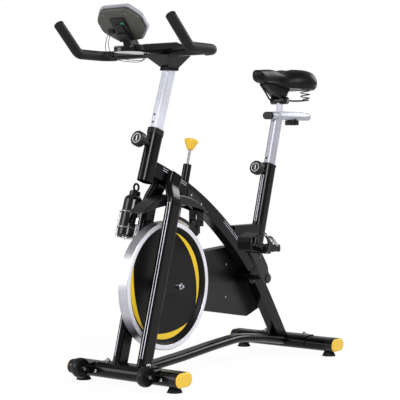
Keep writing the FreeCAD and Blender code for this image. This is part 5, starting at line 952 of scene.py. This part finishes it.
class SPIN_OT_bracket_bolts(bpy.types.Operator):
    """Round bolt heads that hold the wheel brackets to the front stabiliser"""
    bl_idname = "spin.bracket_bolts"
    bl_label = "Bracket bolts"

    def execute(self, context):
        beside_wheel = 0.034
        level = middle_of(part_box("front_stabiliser")).z
        for _, word in SIDES:
            wheel = middle_of(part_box(f"{word}_transport_wheel"))
            point = surface("front_stabiliser", (wheel.x + 0.1, wheel.y + beside_wheel, level),
                            (-1, 0, 0))
            clear_selection()
            bpy.ops.mesh.primitive_uv_sphere_add(segments=32, ring_count=16, radius=0.0062,
                                                 location=point, rotation=facing((1, 0, 0)))
            dome = context.object
            dome.scale = (1, 1, 0.5)
            dome = settle(dome, f"{word}_bracket_bolt", "fastener_steel", "stand",
                          "fastener_steel")
            smooth(dome, 80)
        return {"FINISHED"}


class SPIN_OT_toe_straps(bpy.types.Operator):
    """Loose end and wire buckle of each toe strap"""
    bl_idname = "spin.toe_straps"
    bl_label = "Toe straps"

    def execute(self, context):
        # across from the strap's outer face and up from the pedal's axle, in metres
        droop = ((-0.012, 0.050), (-0.001, 0.048), (0.010, 0.042), (0.020, 0.033),
                 (0.029, 0.022), (0.037, 0.012))
        for side, word in SIDES:
            low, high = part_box(f"{word}_toe_cage")
            face = (high[1] if side > 0 else low[1]) - side * 0.0061
            middle, level = low[0] + 0.013, low[2] + 0.016
            start = surface(f"{word}_toe_cage", (middle, face - side * 0.012, level + 0.2),
                            (0, 0, -1))
            clear_selection()
            bpy.ops.mesh.primitive_grid_add(x_subdivisions=1, y_subdivisions=len(droop) - 1,
                                            size=1)
            tail = context.object
            for vertex in tail.data.vertices:
                step = round((vertex.co.y + 0.5) * (len(droop) - 1))
                across, up = droop[step]
                height = start.z + 0.0004 if step == 0 else level + up
                vertex.co = (middle + vertex.co.x * 0.018, face + side * across, height)
            apply_modifier(tail, "SUBSURF", levels=2, render_levels=2)
            apply_modifier(tail, "SOLIDIFY", thickness=0.0020, offset=0.0)
            apply_modifier(tail, "BEVEL", width=0.0005, segments=2)
            tail = settle(tail, f"{word}_strap_tail", "cage_plastic", f"{word}_pedal_body",
                          "cage_plastic")
            smooth(tail)
            ring = [(middle + x, face + side * y, level + z)
                    for x, y, z in ((-0.012, -0.005, 0.049), (0.0, -0.005, 0.049),
                                    (0.012, -0.005, 0.049), (0.0125, 0.002, 0.045),
                                    (0.012, 0.010, 0.040), (0.0, 0.010, 0.040),
                                    (-0.012, 0.010, 0.040), (-0.0125, 0.002, 0.045))]
            wire(f"{word}_strap_buckle", ring, 0.0016, "fastener_steel",
                 f"{word}_pedal_body", "fastener_steel", closed=True)
        return {"FINISHED"}


class SPIN_OT_reflectors(bpy.types.Operator):
    """Prism reflector on the rear edge of each pedal"""
    bl_idname = "spin.reflectors"
    bl_label = "Pedal reflectors"

    def execute(self, context):
        for word in ("left", "right"):
            low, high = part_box(f"{word}_pedal")
            middle = middle_of((low, high))
            lens = block((0.003, 0.052, 0.013), (low[0] - 0.0012, middle.y, middle.z))
            settle(lens, f"{word}_pedal_reflector", "amber_reflector", f"{word}_pedal_body",
                   "yellow_plastic")
        return {"FINISHED"}


class SPIN_PT_panel(bpy.types.Panel):
    """Lists the pieces of the spin bike."""
    bl_label = "Spin bike"
    bl_idname = "SPIN_PT_panel"
    bl_space_type = "VIEW_3D"
    bl_region_type = "UI"
    bl_category = "Spin bike"

    def draw(self, context):
        for operator in OPERATORS:
            self.layout.operator(operator.bl_idname)


OPERATORS = (SPIN_OT_stage, SPIN_OT_leads, SPIN_OT_frame_finishes, SPIN_OT_saddle,
             SPIN_OT_saddle_springs, SPIN_OT_highlight_stripes, SPIN_OT_blades, SPIN_OT_knob_marks,
             SPIN_OT_display, SPIN_OT_bracket_bolts, SPIN_OT_toe_straps,
             SPIN_OT_reflectors)
GROUPS = {"spin_stage": StageSettings, "spin_leads": LeadSettings, "spin_saddle": SaddleSettings,
          "spin_marks": MarkSettings}


def register():
    for group in GROUPS.values():
        bpy.utils.register_class(group)
    for operator in OPERATORS + (SPIN_PT_panel,):
        bpy.utils.register_class(operator)
    for name, group in GROUPS.items():
        setattr(bpy.types.Scene, name, PointerProperty(type=group))


def unregister():
    for name in GROUPS:
        delattr(bpy.types.Scene, name)
    for item in (SPIN_PT_panel,) + OPERATORS + tuple(GROUPS.values()):
        bpy.utils.unregister_class(item)


def main():
    """Build every piece in order."""
    register()
    FINISHES.update(make_finishes())
    for operator in OPERATORS:
        getattr(bpy.ops.spin, operator.bl_idname.split(".")[1])()
    clear_selection()


if __name__ == "__main__":
    main()
